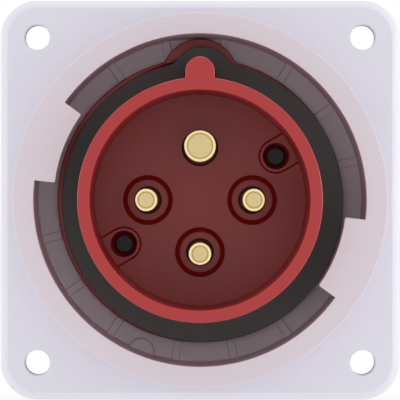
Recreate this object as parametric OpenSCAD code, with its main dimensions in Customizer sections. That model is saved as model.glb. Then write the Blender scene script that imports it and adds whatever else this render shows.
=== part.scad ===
// Panel inlet for a four-pole round pin connector, with a bayonet locking ring.
// The parts are drawn with the pin axis along local +Z and the key towards local +Y, and then turned
// so that the mating side faces -Y and the key points up. The origin is on the pin axis, in the
// plane of the panel that the inlet is screwed to.

/* [Flange] */
// Side of the square flange
flange_size = 92; // [88:1:110]
// Thickness of the flange
flange_t = 5; // [4:0.5:8]
// Radius of the flange's corners
flange_corner_r = 8.5; // [5:0.5:14]
// Rounding of the flange's front edge
flange_edge_r = 1.5; // [0.5:0.25:3]
// Distance from the flange's edges to the fixing holes' middles
hole_margin = 8.5; // [7:0.25:10]
// Diameter of a fixing hole
hole_d = 5.8; // [4.5:0.1:6.5]
// Wall of the spigot behind the flange
spigot_wall = 3.3; // [2.4:0.1:5]
// Wall of the hub that the locking ring turns on
hub_wall = 2.4; // [1.8:0.1:3]
// Thickness of the panel gasket
panel_gasket_t = 2; // [1:0.5:4]
// How far the panel gasket stands in from the flange's edge
panel_gasket_inset = 1.5; // [0.5:0.5:3]

/* [Locking ring] */
// Height of the ring, lip included
ring_h = 27.8; // [24:0.2:32]
// Wall of the ring at its beads
ring_wall = 4.75; // [3.5:0.25:6]
// Thickness of the ring's lip
lip_t = 1.8; // [1.2:0.2:3]
// Space between the gasket seat and the ring's wall
channel_w = 4.6; // [3.6:0.05:6]
// Width of the beads at the front and back edges
bead_w = 5; // [3:0.5:7]
// How far the beads stand proud of the grip
bead_h = 0.6; // [0.3:0.1:1]
// Angle of the first lug's middle, from the right
lug_angle = 158.7; // [150:0.1:170]
// Angle that a lug spans
lug_span = 29; // [22:1:34]
// How far a lug reaches in from the wall
lug_reach = 4.45; // [3:0.05:5.5]
// Axial thickness of a lug
lug_t = 6; // [4:0.5:8]
// Rise of the lead-in on a lug's back face
lug_ramp = 2; // [1:0.25:3]
// Angle that the ring turns from open to locked
ring_turn = 40; // [20:1:60]
// Number of grip flutes
flute_count = 36; // [18:1:44]
// Depth of a grip flute
flute_depth = 0.9; // [0.4:0.1:1.4]
// Radius of a grip flute
flute_r = 2.4; // [1.6:0.1:3]
// Lip ribs on each side of a lug
rib_count = 3; // [1:1:3]
// Angle from a lug's end to the first lip rib, and from one rib to the next
rib_pitch = 21; // [16:0.5:22]
// Width of a lip rib
rib_w = 2.1; // [1.2:0.1:3]
// Height of a lip rib
rib_h = 0.5; // [0.4:0.1:1.2]
// Radius of the half-round pad on the lip
pad_r = 3; // [2:0.25:3.5]

/* [Shroud] */
// Inner diameter of the shroud
shroud_d = 48.5; // [47:0.5:56]
// Wall of the shroud
shroud_wall = 2.8; // [2:0.1:3.6]
// Depth from the rim to the floor
shroud_depth = 40.6; // [36:0.2:48]
// Width of the key
key_w = 6.5; // [5:0.1:8]
// How far the key stands out from the shroud
key_h = 4.55; // [3.4:0.05:5]
// Width of the gasket seat
seat_w = 5.55; // [5.2:0.05:8]
// Thickness of the gasket seat
seat_t = 3; // [2.4:0.2:5]
// Radius of the seat's bump behind the key
bump_r = 8.75; // [7.5:0.25:10]
// Thickness of the face gasket
face_gasket_t = 4; // [2:0.5:6]
// How far the face gasket sits to the right of the axis
gasket_shift_x = 0.6; // [0:0.05:0.7]
// How far the face gasket sits above the axis
gasket_shift_y = -0.35; // [-0.4:0.05:0.4]

/* [Carrier] */
// Thickness of the carrier's floor
floor_t = 4; // [3:0.5:5]
// Length of the bosses that guide the pins, floor included
boss_len = 13.4; // [12:0.2:18]
// Wall of the barrel behind the floor
barrel_wall = 2; // [1.4:0.1:2.6]
// Cord diameter of the barrel's seal ring as squeezed
o_ring_d = 1.7; // [1.2:0.1:2]
// Diameter of the circle that the insert screws stand on
screw_circle_d = 40.4; // [38:0.2:41]
// Angle of the first insert screw, from the right
screw_angle = 30; // [25:1:60]
// Diameter of a screw well at its mouth
well_d = 6.1; // [5:0.1:6.6]
// Depth of a screw well
well_depth = 3.4; // [2.8:0.2:9]
// Diameter of an insert screw's head
insert_head_d = 4; // [3:0.1:4.2]
// Diameter of an insert screw's thread
insert_screw_d = 2.5; // [2:0.1:2.8]

/* [Pins] */
// Diameter of the circle that the pins stand on
pin_circle_d = 24; // [23:0.5:27]
// Diameter of a phase pin
phase_d = 5; // [4:0.5:6]
// Diameter of the earth pin
earth_d = 7; // [6:0.5:8]
// Length of a phase pin in front of the floor
pin_len = 31.6; // [24:0.2:34]
// How much further the earth pin reaches
earth_lead = 1.6; // [0:0.2:2]
// Width of the chamfer on the earth pin's tip, which the thinner pins have in proportion
pin_chamfer = 0.75; // [0.3:0.05:1.2]
// Height of the chamfer on the tip of a pin
pin_chamfer_h = 0.25; // [0.2:0.05:1.2]
// Gap round a pin where it leaves the carrier
pin_gap = 0.7; // [0.4:0.1:0.9]
// Depth of the cup round a phase pin
cup_depth = 2; // [1.2:0.2:7]
// Width of the cup's floor round a phase pin
cup_floor_w = 2.1; // [1.4:0.05:2.6]
// How much wider the cup's mouth is than its floor
cup_flare = 1.15; // [0.4:0.05:1.6]
// How far inside its way a pin's thicker shank starts
shank_drop = 2; // [1:0.2:4]
// Thickness of a pin's collar
collar_t = 2.5; // [1.6:0.1:4]

/* [Terminals] */
// Length of the holder's plug in front of its rim
plug_len = 7.5; // [6:0.5:12]
// Thickness of the holder's rim
holder_rim_t = 3; // [2:0.5:5]
// Length of a terminal behind the holder
terminal_len = 12; // [11:0.5:18]
// Diameter of a wire hole
wire_d = 4.4; // [3:0.1:4.8]
// Wall of a terminal round its wire hole
clamp_wall = 2.2; // [1.6:0.1:2.6]
// Depth of a wire hole
wire_depth = 11; // [9:0.5:14]
// Diameter of a terminal screw's thread
clamp_screw_d = 3.5; // [2.5:0.25:4]
// Thickness of the barriers between the terminals
barrier_t = 2.4; // [1.6:0.2:3.2]
// How far the barriers reach behind the terminals
barrier_reach = 2; // [0:0.5:5]

/* [Hidden] */
$fn = 96;

flange_grey = "#D8D8E4";
ring_grey = "#D9CDD2";
shroud_red = "#B03A3C";
rubber_black = "#343230";
holder_grey = "#3C3F44";
brass = "#D6C48C";
screw_black = "#23262A";
screw_steel = "#B9BCC0";

// Clearances
slide_gap = 0.2;     // pieces that are pushed together
turn_gap = 0.2;      // the ring on its hub, each way
thread_gap = 0.05;   // a thread in its hole
rubber_gap = 0.025;  // a seal ring against its groove
sink = 0.5;          // overlap of shapes that are one moulding

// Directions of the pins and of the insert screws
earth_angle = 90;
left_angle = 180;
bottom_angle = 270;
right_angle = 0;
pin_angles = [earth_angle, left_angle, bottom_angle, right_angle];
phase_angles = [left_angle, bottom_angle, right_angle];
half_turn = [0, 180];

// Small steps and insets
barrel_step = 0.95;    // from the shroud out to the barrel
locator_step = 0.5;    // from the spigot out to the gasket's locator
stop_inset = 0.55;     // from the seat's edge in to the ring's stops
rib_inset = 0.2;       // from the seat's edge out to the lip ribs
bump_inset = 0.25;     // from the ring's wall in to the seat's bump
holder_inset = 0.5;    // from the spigot in to the holder's rim
gasket_inset = 0.5;    // from the seat's edge in to the face gasket
gasket_bump_inset = 1.55;  // from the seat's bump in to the gasket's
collar_wall = 0.8;     // from a pin's terminal out to its collar
floor_drop = 2;        // from the gasket seat back to the carrier's floor
shank_play = 0.15;     // round a pin's shank in its way
barrel_room = 2;       // from the holder's plug to the end of the barrel
well_wall = 1;         // from a screw well out to its pad's edge
head_room = 0.15;      // round an insert screw's head
boss_step = 0.5;       // from a well's pad out to the boss behind it
tip_room = 0.5;        // behind an insert screw's tip
clamp_head_step = 1.25;    // from a terminal screw's thread out to its head
phase_boss_wall = 1.4; // from a cup out to the boss behind it
earth_boss_wall = 1.6; // from the earth pin's seal out to the boss round it
groove_room = 0.9;     // beside a seal ring in its groove
flute_margin = 1;      // from a bead to the end of a flute
barrier_inset = 1;     // from the plug's edge in to the barriers' ends
holder_edge = 0.5;     // chamfers of the holder

// Spacing of the fixing holes
hole_spacing = flange_size - 2*hole_margin;

// Radii, from the shroud outwards
shroud_ir = shroud_d/2;
shroud_or = shroud_ir + shroud_wall;
shroud_edge_r = 0.4;
barrel_r = shroud_or + barrel_step;
barrel_ir = barrel_r - barrel_wall;
bore_r = barrel_r + slide_gap;
hub_r = bore_r + hub_wall;
lip_r = hub_r + turn_gap;
spigot_r = bore_r + spigot_wall;
locator_r = spigot_r + locator_step;
seat_r = shroud_or + seat_w;
ring_ir = seat_r + channel_w;
ring_or = ring_ir + ring_wall;
grip_r = ring_or - bead_h;
lug_r = ring_ir - lug_reach;
stop_r = seat_r - stop_inset;
notch_r = stop_r + turn_gap;
rib_r = seat_r + rib_inset;
key_r = key_w/2;
key_y = shroud_or + key_h - key_r;
bump_y = ring_ir - bump_inset - bump_r;
holder_rim_r = spigot_r - holder_inset;
plug_r = barrel_ir - slide_gap;

// Levels along the axis, from the panel's plane to the front
flange_back = panel_gasket_t;
flange_front = flange_back + flange_t;
lip_back = flange_front + turn_gap;
lip_front = lip_back + lip_t;
ring_front = lip_back + ring_h;
rib_front = lip_front + rib_h;
seat_back = lip_front + 2*turn_gap;
seat_front = seat_back + seat_t;
bump_back = rib_front + 2*turn_gap;
floor_front = seat_back - floor_drop;
floor_back = floor_front - floor_t;
rim_front = floor_front + shroud_depth;

// Levels along the axis, from the floor to the back
boss_back = floor_front - boss_len;
collar_back = boss_back - collar_t;
barrel_back = collar_back - plug_len + barrel_room;
spigot_back = collar_back - plug_len;
holder_back = spigot_back - holder_rim_t;
terminal_back = holder_back - terminal_len;
barrier_back = terminal_back - barrier_reach;

// Ring details
ring_edge_r = 0.3;
lug_edge_r = 0.5;
stop_span = 14;
stop_angle = 20;
stop_play = 0.5;
pad_h = 1;

// Barrel seal ring in its groove
groove_r = bore_r - o_ring_d - 2*rubber_gap;
groove_w = o_ring_d + groove_room;
groove_z = floor_back + floor_t/2;
o_ring_r = (groove_r + bore_r)/2;

// Face gasket outline
gasket_r = seat_r - gasket_inset;
gasket_bump_r = bump_r - gasket_bump_inset;
gasket_gap = 0.25;

// Insert screws and their wells
screw_circle_r = screw_circle_d/2;
well_pad_r = well_d/2 + well_wall;
well_pad_h = 0.6;
well_front = floor_front + well_pad_h;
well_back = well_front - well_depth;
well_floor_r = insert_head_d/2 + head_room;
screw_boss_r = well_pad_r + boss_step;
insert_head_h = 2;
insert_r = insert_screw_d/2;
insert_tip = collar_back - plug_len + tip_room;
drive_w = 0.7;
drive_depth = 1;

// Pins, their seals and terminals
pin_circle_r = pin_circle_d/2;
seal_d = 1.4;
terminal_r = wire_d/2 + clamp_wall;
wire_r = wire_d/2;
wire_chamfer = 0.4;
clamp_z = terminal_back + wire_depth/2;
clamp_r = clamp_screw_d/2;
clamp_head_r = clamp_r + clamp_head_step;
clamp_head_h = 2.2;
clamp_lift = 1.2;
guide_wall = 1.6;
guide_h = 3;
slot_w = 0.9;
slot_depth = 1.1;

// Radii that follow from a pin's own radius
function bore_of(r) = r + pin_gap;
function shank_of(r) = bore_of(r) - shank_play;
function seal_seat_of(r) = shank_of(r) + seal_d + 2*rubber_gap;
function collar_of(r) = max(terminal_r, seal_seat_of(r)) + collar_wall;

// Points on an arc from one angle to another
function arc(centre, r, from, to, steps = 5) =
    [for (i = [0:steps]) let (a = from + (to - from)*i/steps) centre + r*[cos(a), sin(a)]];

// Turns the drawing upright: front to -Y, key to +Z
module upright() {
    rotate([90, 0, 0]) children();
}

// Places children on a circle round the axis
module at_polar(angle, radius, z = 0) {
    rotate(angle) translate([radius, 0, z]) children();
}

// Solid between two levels on the axis
module rod(r, from, to) {
    translate([0, 0, from]) cylinder(r = r, h = to - from);
}

// Piece of a ring between two angles
module sector(r_in, r_out, from, to, start, end) {
    rotate(start)
        rotate_extrude(angle = end - start)
            translate([r_in, from]) square([r_out - r_in, to - from]);
}

// Square outline with round corners
module rounded_square(size, corner_r) {
    straight = size - 2*corner_r;
    square([size, straight], center = true);
    square([straight, size], center = true);
    for (x = [-1, 1], y = [-1, 1])
        translate([x, y]*straight/2) circle(corner_r);
}

// The four fixing holes
module fixing_holes(from, to) {
    for (x = [-1, 1], y = [-1, 1])
        translate([x*hole_spacing/2, y*hole_spacing/2, 0]) rod(hole_d/2, from, to);
}

// Square plate with round corners and a rounded front edge
module flange_plate() {
    reach = flange_size/2 - flange_corner_r;
    side = concat(
        [[0, 0], [flange_corner_r, 0]],
        arc([flange_corner_r - flange_edge_r, flange_t - flange_edge_r], flange_edge_r, 0, 90),
        [[0, flange_t]]
    );
    hull()
        for (x = [-reach, reach], y = [-reach, reach])
            translate([x, y, flange_back]) rotate_extrude($fn = 48) polygon(side);
}

module flange_housing() {
    color(flange_grey) upright() difference() {
        union() {
            flange_plate();
            rod(hub_r, flange_front - sink, seat_back);
            rod(spigot_r, spigot_back, flange_back + sink);
            rod(locator_r, 0, flange_back + sink);
            for (turn = half_turn)
                sector(hub_r - sink, stop_r, flange_front - sink, lip_front,
                       stop_angle - stop_span/2 + turn, stop_angle + stop_span/2 + turn);
        }
        rod(bore_r, spigot_back - sink, seat_back + sink);
        fixing_holes(flange_back - sink, flange_front + sink);
    }
}

module panel_gasket() {
    color(rubber_black) upright() difference() {
        linear_extrude(panel_gasket_t)
            rounded_square(flange_size - 2*panel_gasket_inset, flange_corner_r - panel_gasket_inset);
        rod(locator_r + slide_gap, -sink, panel_gasket_t + sink);
        fixing_holes(-sink, panel_gasket_t + sink);
    }
}

// Turned body of the ring: lip, wall, two beads and the grip between them
module ring_body() {
    rotate_extrude() polygon(concat(
        [[lip_r, lip_back]],
        arc([ring_or - ring_edge_r, lip_back + ring_edge_r], ring_edge_r, -90, 0, 3),
        [[ring_or, lip_back + bead_w - bead_h], [grip_r, lip_back + bead_w]],
        [[grip_r, ring_front - bead_w], [ring_or, ring_front - bead_w + bead_h]],
        arc([ring_or - ring_edge_r, ring_front - ring_edge_r], ring_edge_r, 0, 90, 3),
        arc([ring_ir + ring_edge_r, ring_front - ring_edge_r], ring_edge_r, 90, 180, 3),
        [[ring_ir, lip_front], [lip_r, lip_front]]
    ));
}

// Outline of a lug seen from the front, with rounded inner corners
module lug_outline() {
    half = lug_span/2;
    corner_r = lug_r + lug_edge_r;
    corner_a = half - asin(lug_edge_r/corner_r);
    corner = corner_r*[cos(corner_a), sin(corner_a)];
    upper = arc(corner, lug_edge_r, corner_a + 180, half + 90, 4);
    root = (ring_ir + sink)*[cos(half), sin(half)];
    polygon(concat(
        arc([0, 0], lug_r, -corner_a, corner_a, 10), upper, [root],
        [[root.x, -root.y]], [for (i = [len(upper) - 1:-1:0]) [upper[i].x, -upper[i].y]]
    ));
}

// Bayonet lug with a lead-in on its back face
module lug() {
    back = ring_front - lug_t;
    half_w = ring_ir*sin(lug_span/2);
    side = [
        [-2*half_w, back], [0, back], [2*half_w, back + 2*lug_ramp],
        [2*half_w, ring_front], [-2*half_w, ring_front]
    ];
    intersection() {
        translate([0, 0, back]) linear_extrude(lug_t) lug_outline();
        rotate([90, 0, 90]) linear_extrude(ring_or) polygon(side);
    }
}

// Low radial rib on the lip
module lip_rib() {
    translate([rib_r, -rib_w/2, lip_front - sink])
        cube([ring_ir + sink - rib_r, rib_w, rib_h + sink]);
}

// Scoop taken out of the grip
module flute() {
    translate([grip_r - flute_depth + flute_r, 0, 0])
        rod(flute_r, lip_back + bead_w + flute_margin, ring_front - bead_w - flute_margin);
}

module locking_ring() {
    color(ring_grey) upright() difference() {
        union() {
            ring_body();
            for (turn = half_turn) rotate(lug_angle + turn) {
                lug();
                for (side = [-1, 1], i = [1:rib_count])
                    rotate(side*(lug_span/2 + i*rib_pitch)) lip_rib();
            }
            intersection() {
                at_polar(lug_angle + 90, ring_ir) rod(pad_r, lip_front - sink, lip_front + pad_h);
                rod(ring_ir + sink, lip_front - sink, lip_front + pad_h);
            }
        }
        for (turn = half_turn)
            sector(lip_r - sink, notch_r, lip_back - sink, lip_front + sink,
                   stop_angle - stop_span/2 - stop_play - ring_turn + turn,
                   stop_angle + stop_span/2 + stop_play + turn);
        for (i = [0:flute_count - 1]) rotate(360*i/flute_count) flute();
    }
}

// Turned body of the carrier: shroud, floor, gasket seat and barrel
module carrier_body() {
    rotate_extrude() polygon(concat(
        [[0, floor_back], [barrel_ir, floor_back], [barrel_ir, barrel_back], [barrel_r, barrel_back]],
        [[barrel_r, groove_z - groove_w/2], [groove_r, groove_z - groove_w/2]],
        [[groove_r, groove_z + groove_w/2], [barrel_r, groove_z + groove_w/2]],
        [[barrel_r, seat_back], [seat_r, seat_back], [seat_r, seat_front], [shroud_or, seat_front]],
        arc([shroud_or - shroud_edge_r, rim_front - shroud_edge_r], shroud_edge_r, 0, 90, 3),
        arc([shroud_ir + shroud_edge_r, rim_front - shroud_edge_r], shroud_edge_r, 90, 180, 3),
        [[shroud_ir, floor_front], [0, floor_front]]
    ));
}

// Outline of the shroud with its key, grown by a gap
module key_outline(gap = 0) {
    root = shroud_or - shroud_wall/2;
    translate([0, key_y]) circle(key_r + gap);
    translate([-key_r - gap, root]) square([2*(key_r + gap), key_y - root]);
}

// Part of the gasket seat that stands out behind the key
module seat_bump() {
    translate([0, 0, bump_back]) linear_extrude(seat_front - bump_back) difference() {
        translate([0, bump_y]) circle(bump_r);
        circle(shroud_or - shroud_wall/2);
    }
}

// Raised pad round a screw well, open towards the shroud's wall
module well_pad() {
    intersection() {
        translate([0, 0, floor_front - sink]) linear_extrude(well_pad_h + sink) polygon(concat(
            arc([screw_circle_r, 0], well_pad_r, 90, 270, 16),
            [[shroud_or, -well_pad_r], [shroud_or, well_pad_r]]
        ));
        rod(shroud_ir + sink, floor_front - sink, well_front);
    }
}

// Way of a pin through the carrier, with the seat of its seal
module pin_way(r) {
    rod(bore_of(r), boss_back - sink, floor_front + sink);
    rod(seal_seat_of(r), boss_back - sink, boss_back + seal_d + 2*rubber_gap);
}

// Flared cup round a phase pin
module cup() {
    floor_r = phase_d/2 + cup_floor_w;
    translate([0, 0, floor_front - cup_depth])
        cylinder(r1 = floor_r, r2 = floor_r + cup_flare*(cup_depth + sink)/cup_depth, h = cup_depth + sink);
}

// Well of an insert screw and the way of its shank
module screw_well() {
    mouth_r = well_d/2;
    slope = (mouth_r - well_floor_r)/well_depth;
    translate([0, 0, well_back])
        cylinder(r1 = well_floor_r, r2 = mouth_r + slope*sink, h = well_depth + sink);
    rod(insert_r + slide_gap, collar_back, well_back + sink);
}

module shroud_carrier() {
    phase_boss_r = phase_d/2 + cup_floor_w + cup_flare + phase_boss_wall;
    earth_boss_r = seal_seat_of(earth_d/2) + earth_boss_wall;
    color(shroud_red) upright() difference() {
        union() {
            carrier_body();
            translate([0, 0, seat_back + sink]) linear_extrude(rim_front - seat_back - sink) key_outline();
            seat_bump();
            for (turn = half_turn) {
                rotate(screw_angle + turn) well_pad();
                at_polar(screw_angle + turn, screw_circle_r)
                    rod(screw_boss_r, collar_back + slide_gap, floor_back + sink);
            }
            for (a = phase_angles)
                at_polar(a, pin_circle_r) rod(phase_boss_r, boss_back, floor_back + sink);
            at_polar(earth_angle, pin_circle_r) rod(earth_boss_r, boss_back, floor_back + sink);
        }
        for (a = phase_angles) at_polar(a, pin_circle_r) {
            cup();
            pin_way(phase_d/2);
        }
        at_polar(earth_angle, pin_circle_r) pin_way(earth_d/2);
        for (turn = half_turn) at_polar(screw_angle + turn, screw_circle_r) screw_well();
    }
}

module face_gasket() {
    color(rubber_black) upright() translate([0, 0, seat_front]) linear_extrude(face_gasket_t) difference() {
        translate([gasket_shift_x, gasket_shift_y]) {
            circle(gasket_r);
            translate([0, bump_y]) circle(gasket_bump_r);
        }
        circle(shroud_or + gasket_gap);
        key_outline(gasket_gap);
    }
}

// Round seal ring about the axis
module seal_ring(r, z, cord_d) {
    translate([0, 0, z]) rotate_extrude() translate([r, 0]) circle(d = cord_d, $fn = 32);
}

module carrier_o_ring() {
    color(rubber_black) upright() seal_ring(o_ring_r, groove_z, o_ring_d);
}

// Seal ring on a pin's shank, between the collar and the carrier
module pin_seal(angle, d) {
    shank_r = shank_of(d/2);
    color(rubber_black) upright() at_polar(angle, pin_circle_r)
        seal_ring((shank_r + seal_seat_of(d/2))/2, boss_back + seal_d/2 + rubber_gap, seal_d);
}

// Turned pin with collar and drilled terminal, clamped by a screw from outside
module pin(angle, d, lead, sunk = 0) {
    r = d/2;
    tip = floor_front + pin_len + lead;
    shank_front = floor_front - sunk - shank_drop;
    color(brass) upright() at_polar(angle, pin_circle_r) difference() {
        rotate_extrude() polygon([
            [0, terminal_back], [terminal_r, terminal_back], [terminal_r, collar_back],
            [collar_of(r), collar_back], [collar_of(r), boss_back], [shank_of(r), boss_back],
            [shank_of(r), shank_front], [r, shank_front], [r, tip - pin_chamfer_h],
            [r - pin_chamfer*d/earth_d, tip], [0, tip]
        ]);
        rod(wire_r, terminal_back - sink, terminal_back + wire_depth);
        translate([0, 0, terminal_back - wire_chamfer])
            cylinder(r1 = wire_r + 2*wire_chamfer, r2 = wire_r, h = 2*wire_chamfer);
        translate([0, 0, clamp_z]) rotate([0, 90, 0]) rod(clamp_r + thread_gap, 0, 2*terminal_r);
    }
}

// Turned body of the holder: plug, rim and the guides round the terminals
module holder_body() {
    rotate_extrude() polygon([
        [0, holder_back], [holder_rim_r - holder_edge, holder_back],
        [holder_rim_r, holder_back + holder_edge], [holder_rim_r, spigot_back],
        [plug_r, spigot_back], [plug_r, collar_back - holder_edge],
        [plug_r - holder_edge, collar_back], [0, collar_back]
    ]);
    for (a = pin_angles) at_polar(a, pin_circle_r)
        rod(terminal_r + slide_gap + guide_wall, holder_back - guide_h, holder_back + sink);
}

// Crossed walls that part the terminals
module barriers() {
    barrier_l = 2*(plug_r - barrier_inset);
    for (a = [45, 135])
        rotate(a) translate([-barrier_l/2, -barrier_t/2, barrier_back])
            cube([barrier_l, barrier_t, holder_back - barrier_back + sink]);
}

module rear_holder() {
    color(holder_grey) upright() difference() {
        union() {
            holder_body();
            barriers();
        }
        for (a = pin_angles) at_polar(a, pin_circle_r)
            rod(terminal_r + slide_gap, holder_back - guide_h - sink, collar_back + sink);
        for (turn = half_turn) at_polar(screw_angle + turn, screw_circle_r)
            rod(insert_r + thread_gap, insert_tip - 2*tip_room, collar_back + sink);
    }
}

// Screws from the floor of the shroud into the holder
module insert_screws() {
    head_front = well_back + insert_head_h;
    color(screw_black) upright() for (turn = half_turn) at_polar(screw_angle + turn, screw_circle_r)
        difference() {
            union() {
                rod(insert_head_d/2, well_back, head_front);
                rod(insert_r, insert_tip, well_back + sink);
            }
            for (a = [45, 135])
                rotate(a) translate([-insert_head_d/3, -drive_w/2, head_front - drive_depth])
                    cube([2*insert_head_d/3, drive_w, drive_depth + sink]);
        }
}

// Slotted screws in the terminals, backed off to leave the wire holes free
module terminal_screws() {
    head_from = terminal_r + clamp_lift;
    head_to = head_from + clamp_head_h;
    color(screw_steel) upright() for (a = pin_angles)
        at_polar(a, pin_circle_r, clamp_z) rotate([0, 90, 0]) difference() {
            union() {
                rod(clamp_head_r, head_from, head_to);
                rod(clamp_r, wire_r + slide_gap, head_from + sink);
            }
            translate([-clamp_head_r - sink, -slot_w/2, head_to - slot_depth])
                cube([2*(clamp_head_r + sink), slot_w, slot_depth + sink]);
        }
}

module earth_pin() { pin(earth_angle, earth_d, earth_lead); }
module phase_pin_left() { pin(left_angle, phase_d, 0, cup_depth); }
module phase_pin_right() { pin(right_angle, phase_d, 0, cup_depth); }
module phase_pin_bottom() { pin(bottom_angle, phase_d, 0, cup_depth); }
module earth_pin_seal() { pin_seal(earth_angle, earth_d); }
module phase_pin_seal_left() { pin_seal(left_angle, phase_d); }
module phase_pin_seal_right() { pin_seal(right_angle, phase_d); }
module phase_pin_seal_bottom() { pin_seal(bottom_angle, phase_d); }

flange_housing();
locking_ring();
shroud_carrier();
face_gasket();
carrier_o_ring();
panel_gasket();
earth_pin();
phase_pin_left();
phase_pin_right();
phase_pin_bottom();
earth_pin_seal();
phase_pin_seal_left();
phase_pin_seal_right();
phase_pin_seal_bottom();
rear_holder();
insert_screws();
terminal_screws();
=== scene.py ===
"""Looks of a panel mount appliance inlet with a bayonet locking ring.

The pieces are drawn in millimetres, with the pin axis along +Z and the key towards +Y, and are then
turned upright as they are in the frame: the mating side faces -Y and the key points up.
"""

import logging
import math
from collections.abc import Callable, Sequence
from dataclasses import dataclass, field
from enum import Enum
from typing import NamedTuple, Union

import bmesh
import bpy
from mathutils import Matrix, Vector
from mathutils.geometry import tessellate_polygon


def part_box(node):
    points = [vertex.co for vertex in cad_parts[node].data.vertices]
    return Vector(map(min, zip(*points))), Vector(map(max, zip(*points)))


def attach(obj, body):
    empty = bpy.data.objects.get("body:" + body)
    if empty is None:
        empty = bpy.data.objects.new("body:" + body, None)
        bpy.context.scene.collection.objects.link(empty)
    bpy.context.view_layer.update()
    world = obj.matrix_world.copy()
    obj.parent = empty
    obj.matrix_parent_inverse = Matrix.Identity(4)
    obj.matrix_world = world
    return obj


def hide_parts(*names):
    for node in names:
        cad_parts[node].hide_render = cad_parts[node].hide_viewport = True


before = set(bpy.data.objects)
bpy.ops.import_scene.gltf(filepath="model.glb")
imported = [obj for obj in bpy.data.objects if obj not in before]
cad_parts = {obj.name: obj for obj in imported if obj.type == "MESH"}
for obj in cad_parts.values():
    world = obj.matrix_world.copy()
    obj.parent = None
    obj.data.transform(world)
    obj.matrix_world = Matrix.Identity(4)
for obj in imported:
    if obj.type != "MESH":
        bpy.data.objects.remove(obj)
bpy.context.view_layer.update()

LOG = logging.getLogger("inlet")

Point = tuple[float, float]
Point3 = tuple[float, float, float]
Colour = tuple[float, float, float]
Reshape = Callable[[float, float, float], float]

# Angles in degrees
FULL_TURN = 360.0
HALF_TURN = 180.0
QUARTER_TURN = 90.0
OPPOSITE = (0.0, HALF_TURN)
DIAGONALS = (45.0, 135.0)

MM = 0.001
TINY = 1e-6
UPRIGHT = Matrix.Rotation(math.radians(QUARTER_TURN), 4, "X") @ Matrix.Scale(MM, 4)
SIDEWAYS = Matrix.Rotation(math.radians(QUARTER_TURN), 4, "Y")
IN_PLACE = Matrix.Identity(4)

# Sides of round shapes, from the largest to the smallest
ROUND_STEPS = 192
PIN_STEPS = 96
SMALL_STEPS = 64
BUMP_STEPS = 40
KEY_STEPS = 32
SECTOR_STEPS = 24
BOX_STEPS = 16
BEND_STEPS = 6
EDGE_STEPS = 5
FILLET_STEPS = 4
CORNER_STEPS = 3
SLOT_STEPS = 2

# Forms of an edge, for the flatness of a rim
ROUND_EDGE = 1.0
CHAMFER = 2.0

# Angles, distance and weight for shading
CREASE = math.radians(38.0)
FLAT = math.radians(0.05)
WELD = 1e-7
FACE_WEIGHT = 100

WHITE = (1.0, 1.0, 1.0, 1.0)


class Body(Enum):
    """Bodies of the frame that the pieces ride on."""

    INLET = "inlet"
    RING = "ring"


class Slot(Enum):
    """Material slots of the record."""

    FLANGE = "flange_plastic"
    RING = "ring_plastic"
    RED = "red_plastic"
    RUBBER = "black_rubber"
    BRASS = "pin_brass"
    HOLDER = "holder_plastic"
    BLACK_STEEL = "black_steel"
    BRIGHT_STEEL = "bright_steel"


class Joining(Enum):
    """Ways to put two closed meshes together."""

    UNION = "UNION"
    DIFFERENCE = "DIFFERENCE"


class Direction(Enum):
    """Angles of the pins round the axis, seen from the front, in degrees from the right."""

    RIGHT = 0.0
    TOP = 90.0
    LEFT = 180.0
    BOTTOM = 270.0


# Outlines


@dataclass(frozen=True)
class Arc:
    """Round stretch of an outline, in degrees; a stretch that runs clockwise is hollow."""

    centre: Point
    radius: float
    start: float
    end: float
    steps: int

    def points(self, inset: float = 0.0) -> list[Point]:
        """Points along the stretch.

        Args:
            inset: How far the outline is moved towards its inside.

        Returns:
            The points in order, both ends included.
        """
        radius = self.radius - inset if self.end > self.start else self.radius + inset
        turn = self.end - self.start
        angles = [math.radians(self.start + turn * i / self.steps) for i in range(self.steps + 1)]
        return [
            (self.centre[0] + radius * math.cos(a), self.centre[1] + radius * math.sin(a))
            for a in angles
        ]


@dataclass(frozen=True)
class Outline:
    """Closed outline that runs counter-clockwise through arcs, with straight lines between them."""

    arcs: tuple[Arc, ...]

    def points(self, inset: float = 0.0) -> list[Point]:
        """Points of the outline, without doubles where two arcs meet.

        Args:
            inset: How far the outline is moved towards its inside.

        Returns:
            The points in order.
        """
        plain = [p for arc in self.arcs for p in arc.points()]
        moved = [p for arc in self.arcs for p in arc.points(inset)]
        return [m for i, m in enumerate(moved) if math.dist(plain[i], plain[i - 1]) > TINY]

    def moved(self, right: float, up: float) -> "Outline":
        """The same outline in another place.

        Args:
            right: Move towards +X.
            up: Move towards +Y.

        Returns:
            The moved outline.
        """
        return Outline(tuple(
            Arc((a.centre[0] + right, a.centre[1] + up), a.radius, a.start, a.end, a.steps)
            for a in self.arcs
        ))


def circle(radius: float, centre: Point = (0.0, 0.0), steps: int = ROUND_STEPS) -> Outline:
    """Round outline.

    Args:
        radius: Its radius.
        centre: Its middle.
        steps: Its number of sides.

    Returns:
        The outline.
    """
    return Outline((Arc(centre, radius, 0.0, FULL_TURN, steps),))


def rounded_box(width: float, height: float, corner: float, steps: int) -> Outline:
    """Box outline with round corners, about the origin.

    Args:
        width: Size along X.
        height: Size along Y.
        corner: Radius of the corners.
        steps: Sides of each corner.

    Returns:
        The outline.
    """
    x, y = width / 2 - corner, height / 2 - corner
    quarters = ((x, y), (-x, y), (-x, -y), (x, -y))
    return Outline(tuple(
        Arc(centre, corner, QUARTER_TURN * i, QUARTER_TURN * (i + 1), steps)
        for i, centre in enumerate(quarters)
    ))


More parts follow.
